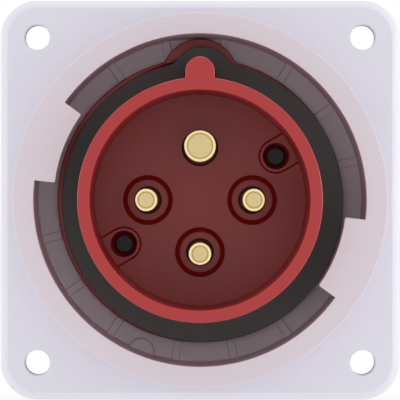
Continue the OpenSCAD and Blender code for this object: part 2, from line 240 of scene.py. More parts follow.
def keyed_circle(radius: float, key_r: float, key_y: float, fillet: float) -> Outline:
    """Circle with a round-headed key towards +Y.

    Args:
        radius: Radius of the circle.
        key_r: Half the key's width.
        key_y: Middle of the key's round head.
        fillet: Radius where the key leaves the circle.

    Returns:
        The outline.
    """
    x = key_r + fillet
    y = math.sqrt((radius + fillet) ** 2 - x ** 2)
    base = math.degrees(math.atan2(y, x))
    return Outline((
        Arc((0.0, 0.0), radius, HALF_TURN - base, FULL_TURN + base, ROUND_STEPS),
        Arc((x, y), fillet, HALF_TURN + base, HALF_TURN, FILLET_STEPS),
        Arc((0.0, key_y), key_r, 0.0, HALF_TURN, KEY_STEPS),
        Arc((-x, y), fillet, 0.0, -base, FILLET_STEPS),
    ))


def bumped_circle(radius: float, bump_r: float, bump_y: float, fillet: float) -> Outline:
    """Circle with a round bump towards +Y, filleted where they meet.

    Args:
        radius: Radius of the circle.
        bump_r: Radius of the bump.
        bump_y: Middle of the bump.
        fillet: Radius of the fillets.

    Returns:
        The outline.
    """
    y = ((radius + fillet) ** 2 - (bump_r + fillet) ** 2 + bump_y ** 2) / (2 * bump_y)
    x = math.sqrt((radius + fillet) ** 2 - y ** 2)
    on_circle = math.degrees(math.atan2(y, x))
    on_bump = math.degrees(math.atan2(y - bump_y, x))
    return Outline((
        Arc((0.0, 0.0), radius, HALF_TURN - on_circle, FULL_TURN + on_circle, ROUND_STEPS),
        Arc((x, y), fillet, HALF_TURN + on_circle, HALF_TURN + on_bump, BEND_STEPS),
        Arc((0.0, bump_y), bump_r, on_bump, HALF_TURN - on_bump, BUMP_STEPS),
        Arc((-x, y), fillet, -on_bump, -on_circle, BEND_STEPS),
    ))


def ring_sector(inner: float, outer: float, start: float, end: float) -> Outline:
    """Piece of a flat ring between two angles.

    Args:
        inner: Inner radius.
        outer: Outer radius.
        start: First angle in degrees.
        end: Last angle in degrees.

    Returns:
        The outline.
    """
    return Outline((
        Arc((0.0, 0.0), outer, start, end, SECTOR_STEPS),
        Arc((0.0, 0.0), inner, end, start, SECTOR_STEPS),
    ))


# Meshes


class Draft:
    """Closed surface under construction, in the drawing's axes and millimetres."""

    def __init__(self) -> None:
        """Starts with no points and no faces."""
        self.points: list[Point3] = []
        self.faces: list[tuple[int, ...]] = []

    def loop(self, points: Sequence[Point], level: float) -> list[int]:
        """Adds a closed loop of points.

        Args:
            points: The points in the drawing's plane.
            level: Their level along the axis.

        Returns:
            The points' indices.
        """
        first = len(self.points)
        self.points += [(x, y, level) for x, y in points]
        return list(range(first, len(self.points)))

    def wall(self, loops: Sequence[list[int]]) -> None:
        """Joins each loop to the next with faces.

        Args:
            loops: Loops with as many points each.
        """
        for low, high in zip(loops, loops[1:]):
            for i, here in enumerate(low):
                self.faces.append((low[i - 1], here, high[i], high[i - 1]))

    def cap(self, loops: Sequence[list[int]]) -> None:
        """Fills the outermost loop, apart from the holes in it.

        Args:
            loops: The outer loop, then the loops of the holes.
        """
        flat = [i for loop in loops for i in loop]
        rings = [[Vector(self.points[i]) for i in loop] for loop in loops]
        self.faces += [tuple(flat[i] for i in corner) for corner in tessellate_polygon(rings)]

    def mesh(self, name: str, place: Matrix = IN_PLACE) -> bpy.types.Mesh:
        """Makes a mesh that stands upright, with its faces pointing outwards.

        Args:
            name: Name of the mesh.
            place: Where the drawing goes before it is turned upright.

        Returns:
            The mesh.
        """
        mesh = bpy.data.meshes.new(name)
        mesh.from_pydata(self.points, [], self.faces)
        mesh.transform(UPRIGHT @ place)
        shape = bmesh.new()
        shape.from_mesh(mesh)
        bmesh.ops.recalc_face_normals(shape, faces=shape.faces)
        shape.to_mesh(mesh)
        shape.free()
        return mesh


class Rim(NamedTuple):
    """Outline of a plate or of a hole in it, with the rounding of its two edges.

    The flatness gives the form of both edges, between round and chamfered. The rise is the front
    edge's height for its width.
    """

    outline: Outline
    back_edge: float = 0.0
    front_edge: float = 0.0
    flatness: float = ROUND_EDGE
    rise: float = 1.0


class Corner(NamedTuple):
    """Corner of a turned profile, with its rounding."""

    radius: float
    level: float
    fillet: float = 0.0


def edge_sections(rim: Rim, back: float, front: float) -> list[Point]:
    """Steps of a wall with rounded edges, as insets and levels.

    Args:
        rim: The rim that the wall follows.
        back: Level of the back face.
        front: Level of the front face.

    Returns:
        Inset and level of each step, from the back to the front.
    """
    turns = [math.pi / 2 * i / EDGE_STEPS for i in range(EDGE_STEPS + 1)]
    bend = [(math.cos(a) ** rim.flatness, math.sin(a) ** rim.flatness) for a in turns[:-1]]
    bend.append((0.0, 1.0))
    low, high = [(0.0, back)], [(0.0, front)]
    if rim.back_edge:
        low = [(rim.back_edge * (1 - up), back + rim.back_edge * (1 - out)) for out, up in bend]
    if rim.front_edge:
        height = rim.front_edge * rim.rise
        high = [(rim.front_edge * (1 - out), front - height * (1 - up)) for out, up in bend]
    return low + high


def plate(outer: Rim, holes: Sequence[Rim], back: float, front: float) -> Draft:
    """Plate with holes and rounded edges.

    Args:
        outer: Rim of the plate.
        holes: Rims of its holes.
        back: Level of its back face.
        front: Level of its front face.

    Returns:
        The plate.
    """
    draft = Draft()
    walls = []
    for rim, inwards in [(outer, 1.0), *((hole, -1.0) for hole in holes)]:
        loops = [
            draft.loop(rim.outline.points(inwards * inset), level)
            for inset, level in edge_sections(rim, back, front)
        ]
        draft.wall(loops)
        walls.append(loops)
    draft.cap([loops[0] for loops in walls])
    draft.cap([loops[-1] for loops in walls])
    return draft


def rounded_profile(corners: Sequence[Corner]) -> list[Point]:
    """Closed profile with rounded corners.

    Args:
        corners: The profile's corners in order.

    Returns:
        Radius and level of each point.
    """
    profile: list[Point] = []
    for i, corner in enumerate(corners):
        here = Vector((corner.radius, corner.level))
        if not corner.fillet:
            profile.append((here.x, here.y))
            continue
        before, after = corners[i - 1], corners[(i + 1) % len(corners)]
        to_before = (Vector((before.radius, before.level)) - here).normalized()
        to_after = (Vector((after.radius, after.level)) - here).normalized()
        half = to_before.angle(to_after) / 2
        middle = here + (to_before + to_after).normalized() * corner.fillet / math.sin(half)
        first = here + to_before * corner.fillet / math.tan(half) - middle
        last = here + to_after * corner.fillet / math.tan(half) - middle
        for step in range(EDGE_STEPS + 1):
            spoke = first.lerp(last, step / EDGE_STEPS).normalized() * corner.fillet
            profile.append((middle.x + spoke.x, middle.y + spoke.y))
    return profile


def revolve(
    profile: Sequence[Point],
    steps: int = ROUND_STEPS,
    reshape: Union[Reshape, None] = None,
) -> Draft:
    """Turned solid about the axis.

    Args:
        profile: Closed profile as radii and levels.
        steps: Sides of the solid.
        reshape: Gives the radius at an angle in degrees, a radius and a level, if not round.

    Returns:
        The solid.
    """
    draft = Draft()
    angles = [FULL_TURN * i / steps for i in range(steps)]
    rings: list[list[int]] = []
    for radius, level in profile:
        if radius < TINY:
            rings.append(draft.loop([(0.0, 0.0)], level) * steps)
            continue
        radii = [reshape(a, radius, level) if reshape else radius for a in angles]
        rings.append(draft.loop(
            [(r * math.cos(math.radians(a)), r * math.sin(math.radians(a)))
             for r, a in zip(radii, angles)],
            level,
        ))
    for low, high in zip(rings, rings[1:] + rings[:1]):
        for i in range(steps):
            corners = dict.fromkeys((low[i - 1], low[i], high[i], high[i - 1]))
            if len(corners) > 2:
                draft.faces.append(tuple(corners))
    return draft


def turned(*corners: Corner, steps: int = ROUND_STEPS) -> Draft:
    """Turned solid with rounded corners.

    Args:
        corners: Corners of its profile.
        steps: Sides of the solid.

    Returns:
        The solid.
    """
    return revolve(rounded_profile(corners), steps)


def rod(radius: float, back: float, front: float, steps: int = SMALL_STEPS) -> Draft:
    """Plain round rod, for bosses and to drill with.

    Args:
        radius: Its radius.
        back: Level of its back end.
        front: Level of its front end.
        steps: Sides of the rod.

    Returns:
        The rod.
    """
    return turned(Corner(0.0, back), Corner(radius, back), Corner(radius, front),
                  Corner(0.0, front), steps=steps)


def polar(angle: float, radius: float = 0.0, level: float = 0.0) -> Matrix:
    """Place on a circle round the axis.

    Args:
        angle: Angle in degrees from the right.
        radius: Radius of the circle.
        level: Level along the axis.

    Returns:
        The place as a matrix.
    """
    turn = Matrix.Rotation(math.radians(angle), 4, "Z")
    return turn @ Matrix.Translation((radius, 0.0, level))


def linked(name: str, mesh: bpy.types.Mesh) -> bpy.types.Object:
    """Object in the scene for a mesh.

    Args:
        name: Name of the object.
        mesh: Its mesh.

    Returns:
        The object.
    """
    made = bpy.data.objects.new(name, mesh)
    bpy.context.scene.collection.objects.link(made)
    return made


def taken(made: bpy.types.Object) -> bpy.types.Mesh:
    """Mesh of an object as its modifiers leave it; the object is removed.

    Args:
        made: The object.

    Returns:
        The mesh.
    """
    bpy.context.view_layer.update()
    graph = bpy.context.evaluated_depsgraph_get()
    mesh = bpy.data.meshes.new_from_object(
        made.evaluated_get(graph), preserve_all_data_layers=True, depsgraph=graph
    )
    bpy.data.objects.remove(made)
    return mesh


def combined(
    base: bpy.types.Mesh,
    joined: Sequence[bpy.types.Mesh] = (),
    cut: Sequence[bpy.types.Mesh] = (),
) -> bpy.types.Mesh:
    """One closed mesh from several.

    Args:
        base: The mesh to start from.
        joined: Meshes that are added to it.
        cut: Meshes that are then taken out of it.

    Returns:
        The new mesh.
    """
    body = linked("blank", base)
    tools = []
    for way, meshes in ((Joining.UNION, joined), (Joining.DIFFERENCE, cut)):
        for mesh in meshes:
            tool = linked("tool", mesh)
            modifier = body.modifiers.new(way.name, "BOOLEAN")
            modifier.operation = way.value
            modifier.solver = "MANIFOLD"
            modifier.object = tool
            tools.append(tool)
    result = taken(body)
    for tool in tools:
        bpy.data.objects.remove(tool)
    return result


def shaded(mesh: bpy.types.Mesh) -> bpy.types.Mesh:
    """Mesh with flat faces merged, soft edges smooth and flat faces shaded flat.

    Args:
        mesh: The mesh, whose shape stays as it is.

    Returns:
        The mesh with its normals set.
    """
    shape = bmesh.new()
    shape.from_mesh(mesh)
    bmesh.ops.remove_doubles(shape, verts=shape.verts, dist=WELD)
    bmesh.ops.dissolve_limit(shape, angle_limit=FLAT, verts=shape.verts, edges=shape.edges)
    shape.to_mesh(mesh)
    shape.free()
    mesh.shade_smooth()
    mesh.set_sharp_from_angle(angle=CREASE)
    made = linked("shaded", mesh)
    normals = made.modifiers.new("flat faces", "WEIGHTED_NORMAL")
    normals.mode = "FACE_AREA"
    normals.weight = FACE_WEIGHT
    normals.keep_sharp = True
    return taken(made)


# Node trees


class Sock:
    """Output of a node; arithmetic on it adds Math nodes."""

    def __init__(self, graph: "Graph", socket: Union[bpy.types.NodeSocket, None]) -> None:
        """Wraps a socket.

        Args:
            graph: The graph that the socket is in.
            socket: The socket, or none at the end of a graph.
        """
        self.graph = graph
        self.socket = socket

    def out(self, name: Union[str, int]) -> "Sock":
        """Another output of the same node."""
        return Sock(self.graph, self.socket.node.outputs[name])

    def _math(self, operation: str, first: "Value", second: "Value") -> "Sock":
        """Math node on two values."""
        return self.graph.node("ShaderNodeMath", {"operation": operation}, {0: first, 1: second})

    def __add__(self, other: "Value") -> "Sock":
        """Sum."""
        return self._math("ADD", self, other)

    def __radd__(self, other: "Value") -> "Sock":
        """Sum with a number first."""
        return self._math("ADD", other, self)

    def __sub__(self, other: "Value") -> "Sock":
        """Difference."""
        return self._math("SUBTRACT", self, other)

    def __rsub__(self, other: "Value") -> "Sock":
        """Difference with a number first."""
        return self._math("SUBTRACT", other, self)

    def __mul__(self, other: "Value") -> "Sock":
        """Product."""
        return self._math("MULTIPLY", self, other)

    def __rmul__(self, other: "Value") -> "Sock":
        """Product with a number first."""
        return self._math("MULTIPLY", other, self)

    def __truediv__(self, other: "Value") -> "Sock":
        """Quotient."""
        return self._math("DIVIDE", self, other)

    def __rtruediv__(self, other: "Value") -> "Sock":
        """Quotient with a number first."""
        return self._math("DIVIDE", other, self)

    def swing(self, width: float) -> "Sock":
        """Noise between 0 and 1 as a swing of that width about zero."""
        return (self - 0.5) * width


Value = Union[Sock, float]
Setting = Union[str, bool]


class Graph:
    """Node tree under construction."""

    NOISE_ROUGHNESS = 0.55

    def __init__(self, tree: bpy.types.NodeTree) -> None:
        """Starts on an emptied tree.

        Args:
            tree: The tree that takes the nodes.
        """
        self.tree = tree
        tree.nodes.clear()

    def node(
        self,
        kind: str,
        settings: Union[dict[str, Setting], None] = None,
        sockets: Union[dict[Union[str, int], object], None] = None,
    ) -> Sock:
        """Adds a node.

        Args:
            kind: The node's type.
            settings: Its settings, which are set first.
            sockets: Values or links of its inputs, by name or number.

        Returns:
            The node's first output.
        """
        made = self.tree.nodes.new(kind)
        for name, value in (settings or {}).items():
            setattr(made, name, value)
        for name, value in (sockets or {}).items():
            if isinstance(value, Sock):
                self.tree.links.new(value.socket, made.inputs[name])
            else:
                made.inputs[name].default_value = value
        return Sock(self, made.outputs[0] if made.outputs else None)

    def noise(self, place: Sock, size: float, detail: float) -> Sock:
        """Smooth noise between 0 and 1.

        Args:
            place: Coordinates in metres.
            size: Size of a blotch in millimetres.
            detail: Finer octaves on top.

        Returns:
            The noise.
        """
        return self.node(
            "ShaderNodeTexNoise", {"noise_dimensions": "3D"},
            {"Vector": place, "Scale": 1.0 / (size * MM), "Detail": detail,
             "Roughness": self.NOISE_ROUGHNESS},
        )

    def tinted(self, colour: Colour, tone: Sock) -> Sock:
        """Colour made lighter or darker.

        Args:
            colour: The colour at a tone of 1.
            tone: What it is multiplied by.

        Returns:
            The tinted colour.
        """
        return self.node("ShaderNodeVectorMath", {"operation": "SCALE"},
                         {"Vector": colour, "Scale": tone})

    def blend(self, factor: Sock, first: Union[Sock, Colour], second: Union[Sock, Colour]) -> Sock:
        """Mix of two colours.

        Args:
            factor: Share of the second colour.
            first: The first colour.
            second: The second colour.

        Returns:
            The mixed colour.
        """
        factor_socket, first_socket, second_socket, colour_output = 0, 6, 7, 2
        ends = {
            number: value if isinstance(value, Sock) else (*value, 1.0)
            for number, value in ((first_socket, first), (second_socket, second))
        }
        mix = self.node("ShaderNodeMix", {"data_type": "RGBA"}, {factor_socket: factor, **ends})
        return mix.out(colour_output)

    def step(self, value: Sock, edge: float, blur: float) -> Sock:
        """Soft step from 0 to 1.

        Args:
            value: What is compared.
            edge: Where the step starts.
            blur: Width of the step.

        Returns:
            The step.
        """
        return self.node("ShaderNodeMapRange", {"clamp": True},
                         {"Value": value, "From Min": edge, "From Max": edge + blur})

    def seen(self) -> Sock:
        """1 for what the camera, metal and glass see, and 0 for light on the inlet."""
        path = self.node("ShaderNodeLightPath")
        rays = path + path.out("Is Glossy Ray") + path.out("Is Transmission Ray")
        return self.step(rays, 0.0, 1.0)

    def relief(self, height: Sock, depth: float) -> Sock:
        """Normal of a fine relief.

        Args:
            height: Height between 0 and 1.
            depth: Depth of the relief in millimetres.

        Returns:
            The normal.
        """
        return self.node("ShaderNodeBump", {}, {"Strength": 1.0, "Distance": depth * MM,
                                                "Height": height})


class Surface(Graph):
    """Graph of a material."""

    def __init__(self, name: str) -> None:
        """Starts a material.

        Args:
            name: Name of the material.
        """
        self.material = bpy.data.materials.new(name)
        self.material.use_nodes = True
        super().__init__(self.material.node_tree)
        self.place = self.node("ShaderNodeTexCoord").out("Object")

    def finish(self, sockets: dict[str, object]) -> bpy.types.Material:
        """Ends the graph in a shader.

        Args:
            sockets: The shader's inputs by name.

        Returns:
            The material.
        """
        shader = self.node("ShaderNodeBsdfPrincipled", {}, sockets)
        self.node("ShaderNodeOutputMaterial", {}, {"Surface": shader})
        return self.material


# Finishes


@dataclass(frozen=True)
class MouldedPlastic:
    """Moulded plastic with a fine grain and faint clouds."""

    name: str
    colour: Colour
    roughness: float
    gloss: float
    grain: float = 0.35
    grain_depth: float = 0.006
    cloud: float = 16.0
    cloud_tone: float = 0.05
    grain_tone: float = 0.05
    patchiness: float = 0.12
    detail: float = 3.0

    def material(self) -> bpy.types.Material:
        """Makes the material."""
        graph = Surface(self.name)
        grain = graph.noise(graph.place, self.grain, self.detail)
        cloud = graph.noise(graph.place, self.cloud, self.detail)
        tone = 1.0 + cloud.swing(self.cloud_tone) + grain.swing(self.grain_tone)
        return graph.finish({
            "Base Color": graph.tinted(self.colour, tone),
            "Roughness": self.roughness + cloud.swing(self.patchiness),
            "Specular IOR Level": self.gloss,
            "Normal": graph.relief(grain, self.grain_depth),
        })


@dataclass(frozen=True)
class MouldedRubber:
    """Matt rubber with a fine pitted skin and a faint pale bloom."""

    name: str
    colour: Colour
    bloom: Colour
    roughness: float = 0.72
    gloss: float = 0.3
    pit: float = 0.28
    pit_depth: float = 0.012
    patch: float = 9.0
    bloom_share: float = 0.5
    patchiness: float = 0.15
    detail: float = 4.0

    def material(self) -> bpy.types.Material:
        """Makes the material."""
        graph = Surface(self.name)
        pits = graph.noise(graph.place, self.pit, self.detail)
        patches = graph.noise(graph.place, self.patch, self.detail)
        return graph.finish({
            "Base Color": graph.blend(patches * pits * self.bloom_share, self.colour, self.bloom),
            "Roughness": self.roughness + patches.swing(self.patchiness),
            "Specular IOR Level": self.gloss,
            "Normal": graph.relief(pits, self.pit_depth),
        })


@dataclass(frozen=True)
class TurnedBrass:
    """Bright brass with the fine lines that a lathe leaves round its axis."""

    name: str
    axis: Point
    edge_r: float
    edge_level: float
    # Levels that bound the band of painted shade on the shank
    gap_shaded_back: float
    gap_shaded_front: float
    colour: Colour = (0.69, 0.555, 0.285)
    dull: Colour = (0.615, 0.475, 0.22)
    # Lighter brass on the tip's chamfer: real burnish and a painted highlight
    burnished_highlight: Colour = (0.9, 0.76, 0.43)
    # Dark red-brown on the shank: painted shade in the gap round the pin, with a painted reflection
    # of the red carrier
    gap_shade: Colour = (0.20, 0.05, 0.028)
    roughness: float = 0.28
    gap_shade_roughness: float = 0.8
    line: float = 0.09
    line_detail: float = 2.0
    line_depth: float = 0.0012
    line_swing: float = 0.16
    patch: float = 5.0
    patch_detail: float = 3.0
    patch_swing: float = 0.1
    polish: float = 0.5
    blur: float = 0.08

    def material(self) -> bpy.types.Material:
        """Makes the material, with its lines centred on the pin's own axis."""
        graph = Surface(self.name)
        right, up = (-x * MM for x in self.axis)
        centred = graph.node("ShaderNodeMapping", {"vector_type": "POINT"},
                             {"Vector": graph.place, "Location": (right, 0.0, up)})
        flat = graph.node("ShaderNodeVectorMath", {"operation": "MULTIPLY"},
                          {0: centred, 1: (1.0, 0.0, 1.0)})
        radius = graph.node("ShaderNodeVectorMath", {"operation": "LENGTH"}, {0: flat}).out("Value")
        along = graph.node("ShaderNodeSeparateXYZ", {}, {"Vector": centred}).out("Y")
        level = 0.0 - along / MM
        # The tip's chamfer, where the brass is polished and carries the painted highlight
        outside = graph.step(radius / MM, self.edge_r, self.blur)
        edge = outside * graph.step(level, self.edge_level, self.blur)
        gap_shaded_back = graph.step(level, self.gap_shaded_back, self.blur)
        gap_shaded = gap_shaded_back - graph.step(level, self.gap_shaded_front, self.blur)
        lines = graph.node(
            "ShaderNodeTexNoise", {"noise_dimensions": "1D"},
            {"W": (radius + along) / (self.line * MM), "Detail": self.line_detail, "Scale": 1.0})
        patches = graph.noise(graph.place, self.patch, self.patch_detail)
        worn = graph.blend(patches * lines, self.colour, self.dull)
        # Painted highlight: the brass on the chamfer is made lighter, where it is also polished
        bright = graph.blend(edge, worn, self.burnished_highlight)
        uneven = self.roughness + lines.swing(self.line_swing) + patches.swing(self.patch_swing)
        rough = uneven * (1.0 - self.polish * edge)
        return graph.finish({
            # Painted shade: the shank's band is dark red-brown and not metal, standing for the
            # shade in the gap round the pin
            "Base Color": graph.blend(gap_shaded, bright, self.gap_shade),
            "Metallic": 1.0 - gap_shaded,
            "Roughness": rough * (1.0 - gap_shaded) + gap_shaded * self.gap_shade_roughness,
            "Normal": graph.relief(lines, self.line_depth),
        })


@dataclass(frozen=True)
class PlatedSteel:
    """Plated or blackened steel with fine scratches and uneven tint."""

    name: str
    colour: Colour
    tint: Colour
    metallic: float
    roughness: float
    gloss: float = 0.5
    patch: float = 2.4
    patch_detail: float = 3.0
    scratch: float = 0.5
    scratch_detail: float = 5.0
    scratch_stretch: Point3 = (1.0, 0.12, 1.0)
    scratch_swing: float = 0.25
    scratch_depth: float = 0.004

    def material(self) -> bpy.types.Material:
        """Makes the material."""
        graph = Surface(self.name)
        patches = graph.noise(graph.place, self.patch, self.patch_detail)
        stretched = graph.node("ShaderNodeMapping", {"vector_type": "POINT"},
                               {"Vector": graph.place, "Scale": self.scratch_stretch})
        scratches = graph.noise(stretched, self.scratch, self.scratch_detail)
        return graph.finish({
            "Base Color": graph.blend(patches, self.colour, self.tint),
            "Metallic": self.metallic,
            "Roughness": self.roughness + scratches.swing(self.scratch_swing),
            "Specular IOR Level": self.gloss,
            "Normal": graph.relief(scratches, self.scratch_depth),
        })


FLANGE_PLASTIC = MouldedPlastic("light grey plastic", (0.73, 0.72, 0.80), 0.5, 0.4)
RING_PLASTIC = MouldedPlastic("rose grey plastic", (0.70, 0.637, 0.695), 0.5, 0.4)
RED_PLASTIC = MouldedPlastic("red plastic", (0.385, 0.014, 0.016), 0.34, 0.58, grain=0.25,
                             grain_depth=0.003)
HOLDER_PLASTIC = MouldedPlastic("dark grey plastic", (0.035, 0.039, 0.046), 0.48, 0.45, grain=0.5,
                                grain_depth=0.01, grain_tone=0.3, cloud_tone=0.15)
BLACK_RUBBER = MouldedRubber("black rubber", (0.093, 0.09, 0.09), (0.19, 0.19, 0.188))
BLACK_STEEL = PlatedSteel("black steel", (0.012, 0.012, 0.026), (0.022, 0.019, 0.028), 0.0, 0.4,
                          gloss=0.42)
BRIGHT_STEEL = PlatedSteel("bright steel", (0.60, 0.61, 0.63), (0.66, 0.63, 0.56), 1.0, 0.3)


# Repeats


class RadialCopies:
    """Geometry Nodes tree that repeats a piece round the axis."""

    INPUTS = (
        ("Piece", "NodeSocketGeometry"),
        ("Copies", "NodeSocketInt"),
        ("First angle", "NodeSocketFloat"),
        ("Pitch", "NodeSocketFloat"),
        ("Finish", "NodeSocketMaterial"),
    )

    def __init__(self) -> None:
        """Builds the tree."""
        self.tree = bpy.data.node_groups.new("copies round the axis", "GeometryNodeTree")
        graph = Graph(self.tree)
        face = self.tree.interface
        self.sockets = {
            name: face.new_socket(name=name, in_out="INPUT", socket_type=kind).identifier
            for name, kind in self.INPUTS
        }
        face.new_socket(name="Geometry", in_out="OUTPUT", socket_type="NodeSocketGeometry")
        given = graph.node("NodeGroupInput")
        index = graph.node("GeometryNodeInputIndex")
        angle = given.out("First angle") + index * given.out("Pitch")
        turn = graph.node("ShaderNodeCombineXYZ", {}, {"Y": 0.0 - angle})
        points = graph.node("GeometryNodeMeshLine", {"mode": "OFFSET"},
                            {"Count": given.out("Copies"), "Offset": (0.0, 0.0, 0.0)})
        copies = graph.node("GeometryNodeInstanceOnPoints", {},
                            {"Points": points, "Instance": given.out("Piece"), "Rotation": turn})
        whole = graph.node("GeometryNodeRealizeInstances", {}, {"Geometry": copies})
        dressed = graph.node("GeometryNodeSetMaterial", {},
                             {"Geometry": whole, "Material": given.out("Finish")})
        graph.node("NodeGroupOutput", {}, {"Geometry": dressed})

    def repeat(
        self,
        mesh: bpy.types.Mesh,
        copies: int,
        first: float,
        pitch: float,
        finish: bpy.types.Material,
    ) -> bpy.types.Mesh:
        """Repeats a piece.

        Args:
            mesh: The piece where it is at an angle of zero.
            copies: Number of copies.
            first: Angle of the first copy in degrees.
            pitch: Angle from one copy to the next in degrees.
            finish: The copies' material.

        Returns:
            One mesh of all the copies.
        """
        made = linked("copies", mesh)
        modifier = made.modifiers.new("copies", "NODES")
        modifier.node_group = self.tree
        modifier[self.sockets["Copies"]] = copies
        modifier[self.sockets["First angle"]] = math.radians(first)
        modifier[self.sockets["Pitch"]] = math.radians(pitch)
        modifier[self.sockets["Finish"]] = finish
        return taken(made)


@dataclass(frozen=True)
class Extent:
    """Reach of a node of the frame in the drawing's axes, in millimetres."""

    right: float
    back: float
    front: float

    @classmethod
    def of(cls, node: str) -> "Extent":
        """Reads a node's reach from the frame.

        Args:
            node: The node's name.

        Returns:
            Its reach.
        """
        low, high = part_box(node)
        return cls(high.x / MM, -high.y / MM, -low.y / MM)


def reach_of(node: str) -> Extent:
    """Field that takes a node's reach from the frame.

    Args:
        node: The node's name.

    Returns:
        The dataclass field.
    """
    return field(default_factory=lambda: Extent.of(node))


def place_piece(
    name: str,
    mesh: bpy.types.Mesh,
    finish: bpy.types.Material,
    nodes: Sequence[str],
    body: Body = Body.INLET,
) -> None:
    """Puts a finished mesh into the scene as a piece of the inlet.

    Args:
        name: Name of the piece.
        mesh: Its mesh, with its place in it.
        finish: Its material.
        nodes: Nodes of the frame that it stands for.
        body: Body that it rides on.
    """
    done = shaded(mesh)
    done.name = name
    done.materials.clear()
    done.materials.append(finish)
    piece = linked(name, done)
    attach(piece, body.value)
    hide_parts(*nodes)
    LOG.info("%s: %d faces on body %s", name, len(done.polygons), body.value)


# The inlet's pieces


@dataclass(frozen=True)
class FlangeHousing:
    """Square flange with the hub that the ring turns on and the spigot behind."""

    reach: Extent = reach_of("flange_housing")
    gasket: Extent = reach_of("panel_gasket")
    thickness: float = 5.0
    corner_r: float = 8.5
    edge_r: float = 1.9
    edge_flatness: float = 1.5
    back_edge: float = 0.3
    hole_margin: float = 8.5
    hole_r: float = 2.9
    hole_edge: float = 0.25
    bore_r: float = 28.2
    hub_r: float = 30.6
    spigot_r: float = 31.5
    locator_r: float = 32.0
    stop_r: float = 32.05
    stop_t: float = 2.0
    stop_angle: float = 20.0
    stop_span: float = 14.0
    rounding: float = 0.3

    @property
    def front(self) -> float:
        """Level of the flange's front face."""
        return self.gasket.front + self.thickness

    def holes(self, edge: float) -> list[Rim]:
        """Rims of the four fixing holes.

        Args:
            edge: Rounding of their mouths.

        Returns:
            The rims.
        """
        middle = self.reach.right - self.hole_margin
        return [
            Rim(circle(self.hole_r, (x, y), SMALL_STEPS), edge, edge)
            for x in (-middle, middle) for y in (-middle, middle)
        ]

    def square(self) -> bpy.types.Mesh:
        """Flange with its holes, open in the middle."""
        size = 2 * self.reach.right
        opening = Rim(circle((self.bore_r + self.hub_r) / 2))
        outline = rounded_box(size, size, self.corner_r, BOX_STEPS)
        outer = Rim(outline, self.back_edge, self.edge_r, self.edge_flatness)
        draft = plate(outer, [opening, *self.holes(self.hole_edge)], self.gasket.front, self.front)
        return draft.mesh("flange")

    def sleeve(self) -> bpy.types.Mesh:
        """Turned hub, locator and spigot."""
        inside = self.gasket.front + self.thickness / 2
        return turned(
            Corner(self.bore_r, self.reach.back, self.rounding),
            Corner(self.spigot_r, self.reach.back, self.rounding),
            Corner(self.spigot_r, 0.0),
            Corner(self.locator_r, 0.0, self.rounding / 2),
            Corner(self.locator_r, inside),
            Corner(self.hub_r, inside),
            Corner(self.hub_r, self.reach.front, self.rounding),
            Corner(self.bore_r, self.reach.front, self.rounding),
        ).mesh("sleeve")

    def stop(self) -> bpy.types.Mesh:
        """Stop on the hub that ends the ring's turn, at an angle of zero."""
        half = self.stop_span / 2
        outline = ring_sector(self.hub_r - self.rounding, self.stop_r, -half, half)
        draft = plate(Rim(outline), [], self.front - self.rounding, self.front + self.stop_t)
        return draft.mesh("stop")

    def build(self, copies: RadialCopies) -> None:
        """Builds the housing.

        Args:
            copies: The tree that repeats the stops.
        """
        finish = FLANGE_PLASTIC.material()
        stops = copies.repeat(self.stop(), len(OPPOSITE), self.stop_angle, HALF_TURN, finish)
        mesh = combined(self.square(), [self.sleeve(), stops])
        place_piece("flange_moulding", mesh, finish, ["flange_housing"])


@dataclass(frozen=True)
class PanelGasket:
    """Flat gasket between the flange and the panel."""

    housing: FlangeHousing
    reach: Extent = reach_of("panel_gasket")
    corner_r: float = 7.0
    bore_r: float = 32.2
    edge_r: float = 0.3

    def build(self, rubber: bpy.types.Material) -> None:
        """Builds the gasket.

        Args:
            rubber: Its material.
        """
        size = 2 * self.reach.right
        outer = Rim(rounded_box(size, size, self.corner_r, BOX_STEPS), self.edge_r, self.edge_r)
        bore = Rim(circle(self.bore_r), self.edge_r, self.edge_r)
        draft = plate(outer, [bore, *self.housing.holes(0.0)], self.reach.back, self.reach.front)
        place_piece("panel_gasket_sheet", draft.mesh("panel_gasket_sheet"), rubber,
                    ["panel_gasket"])


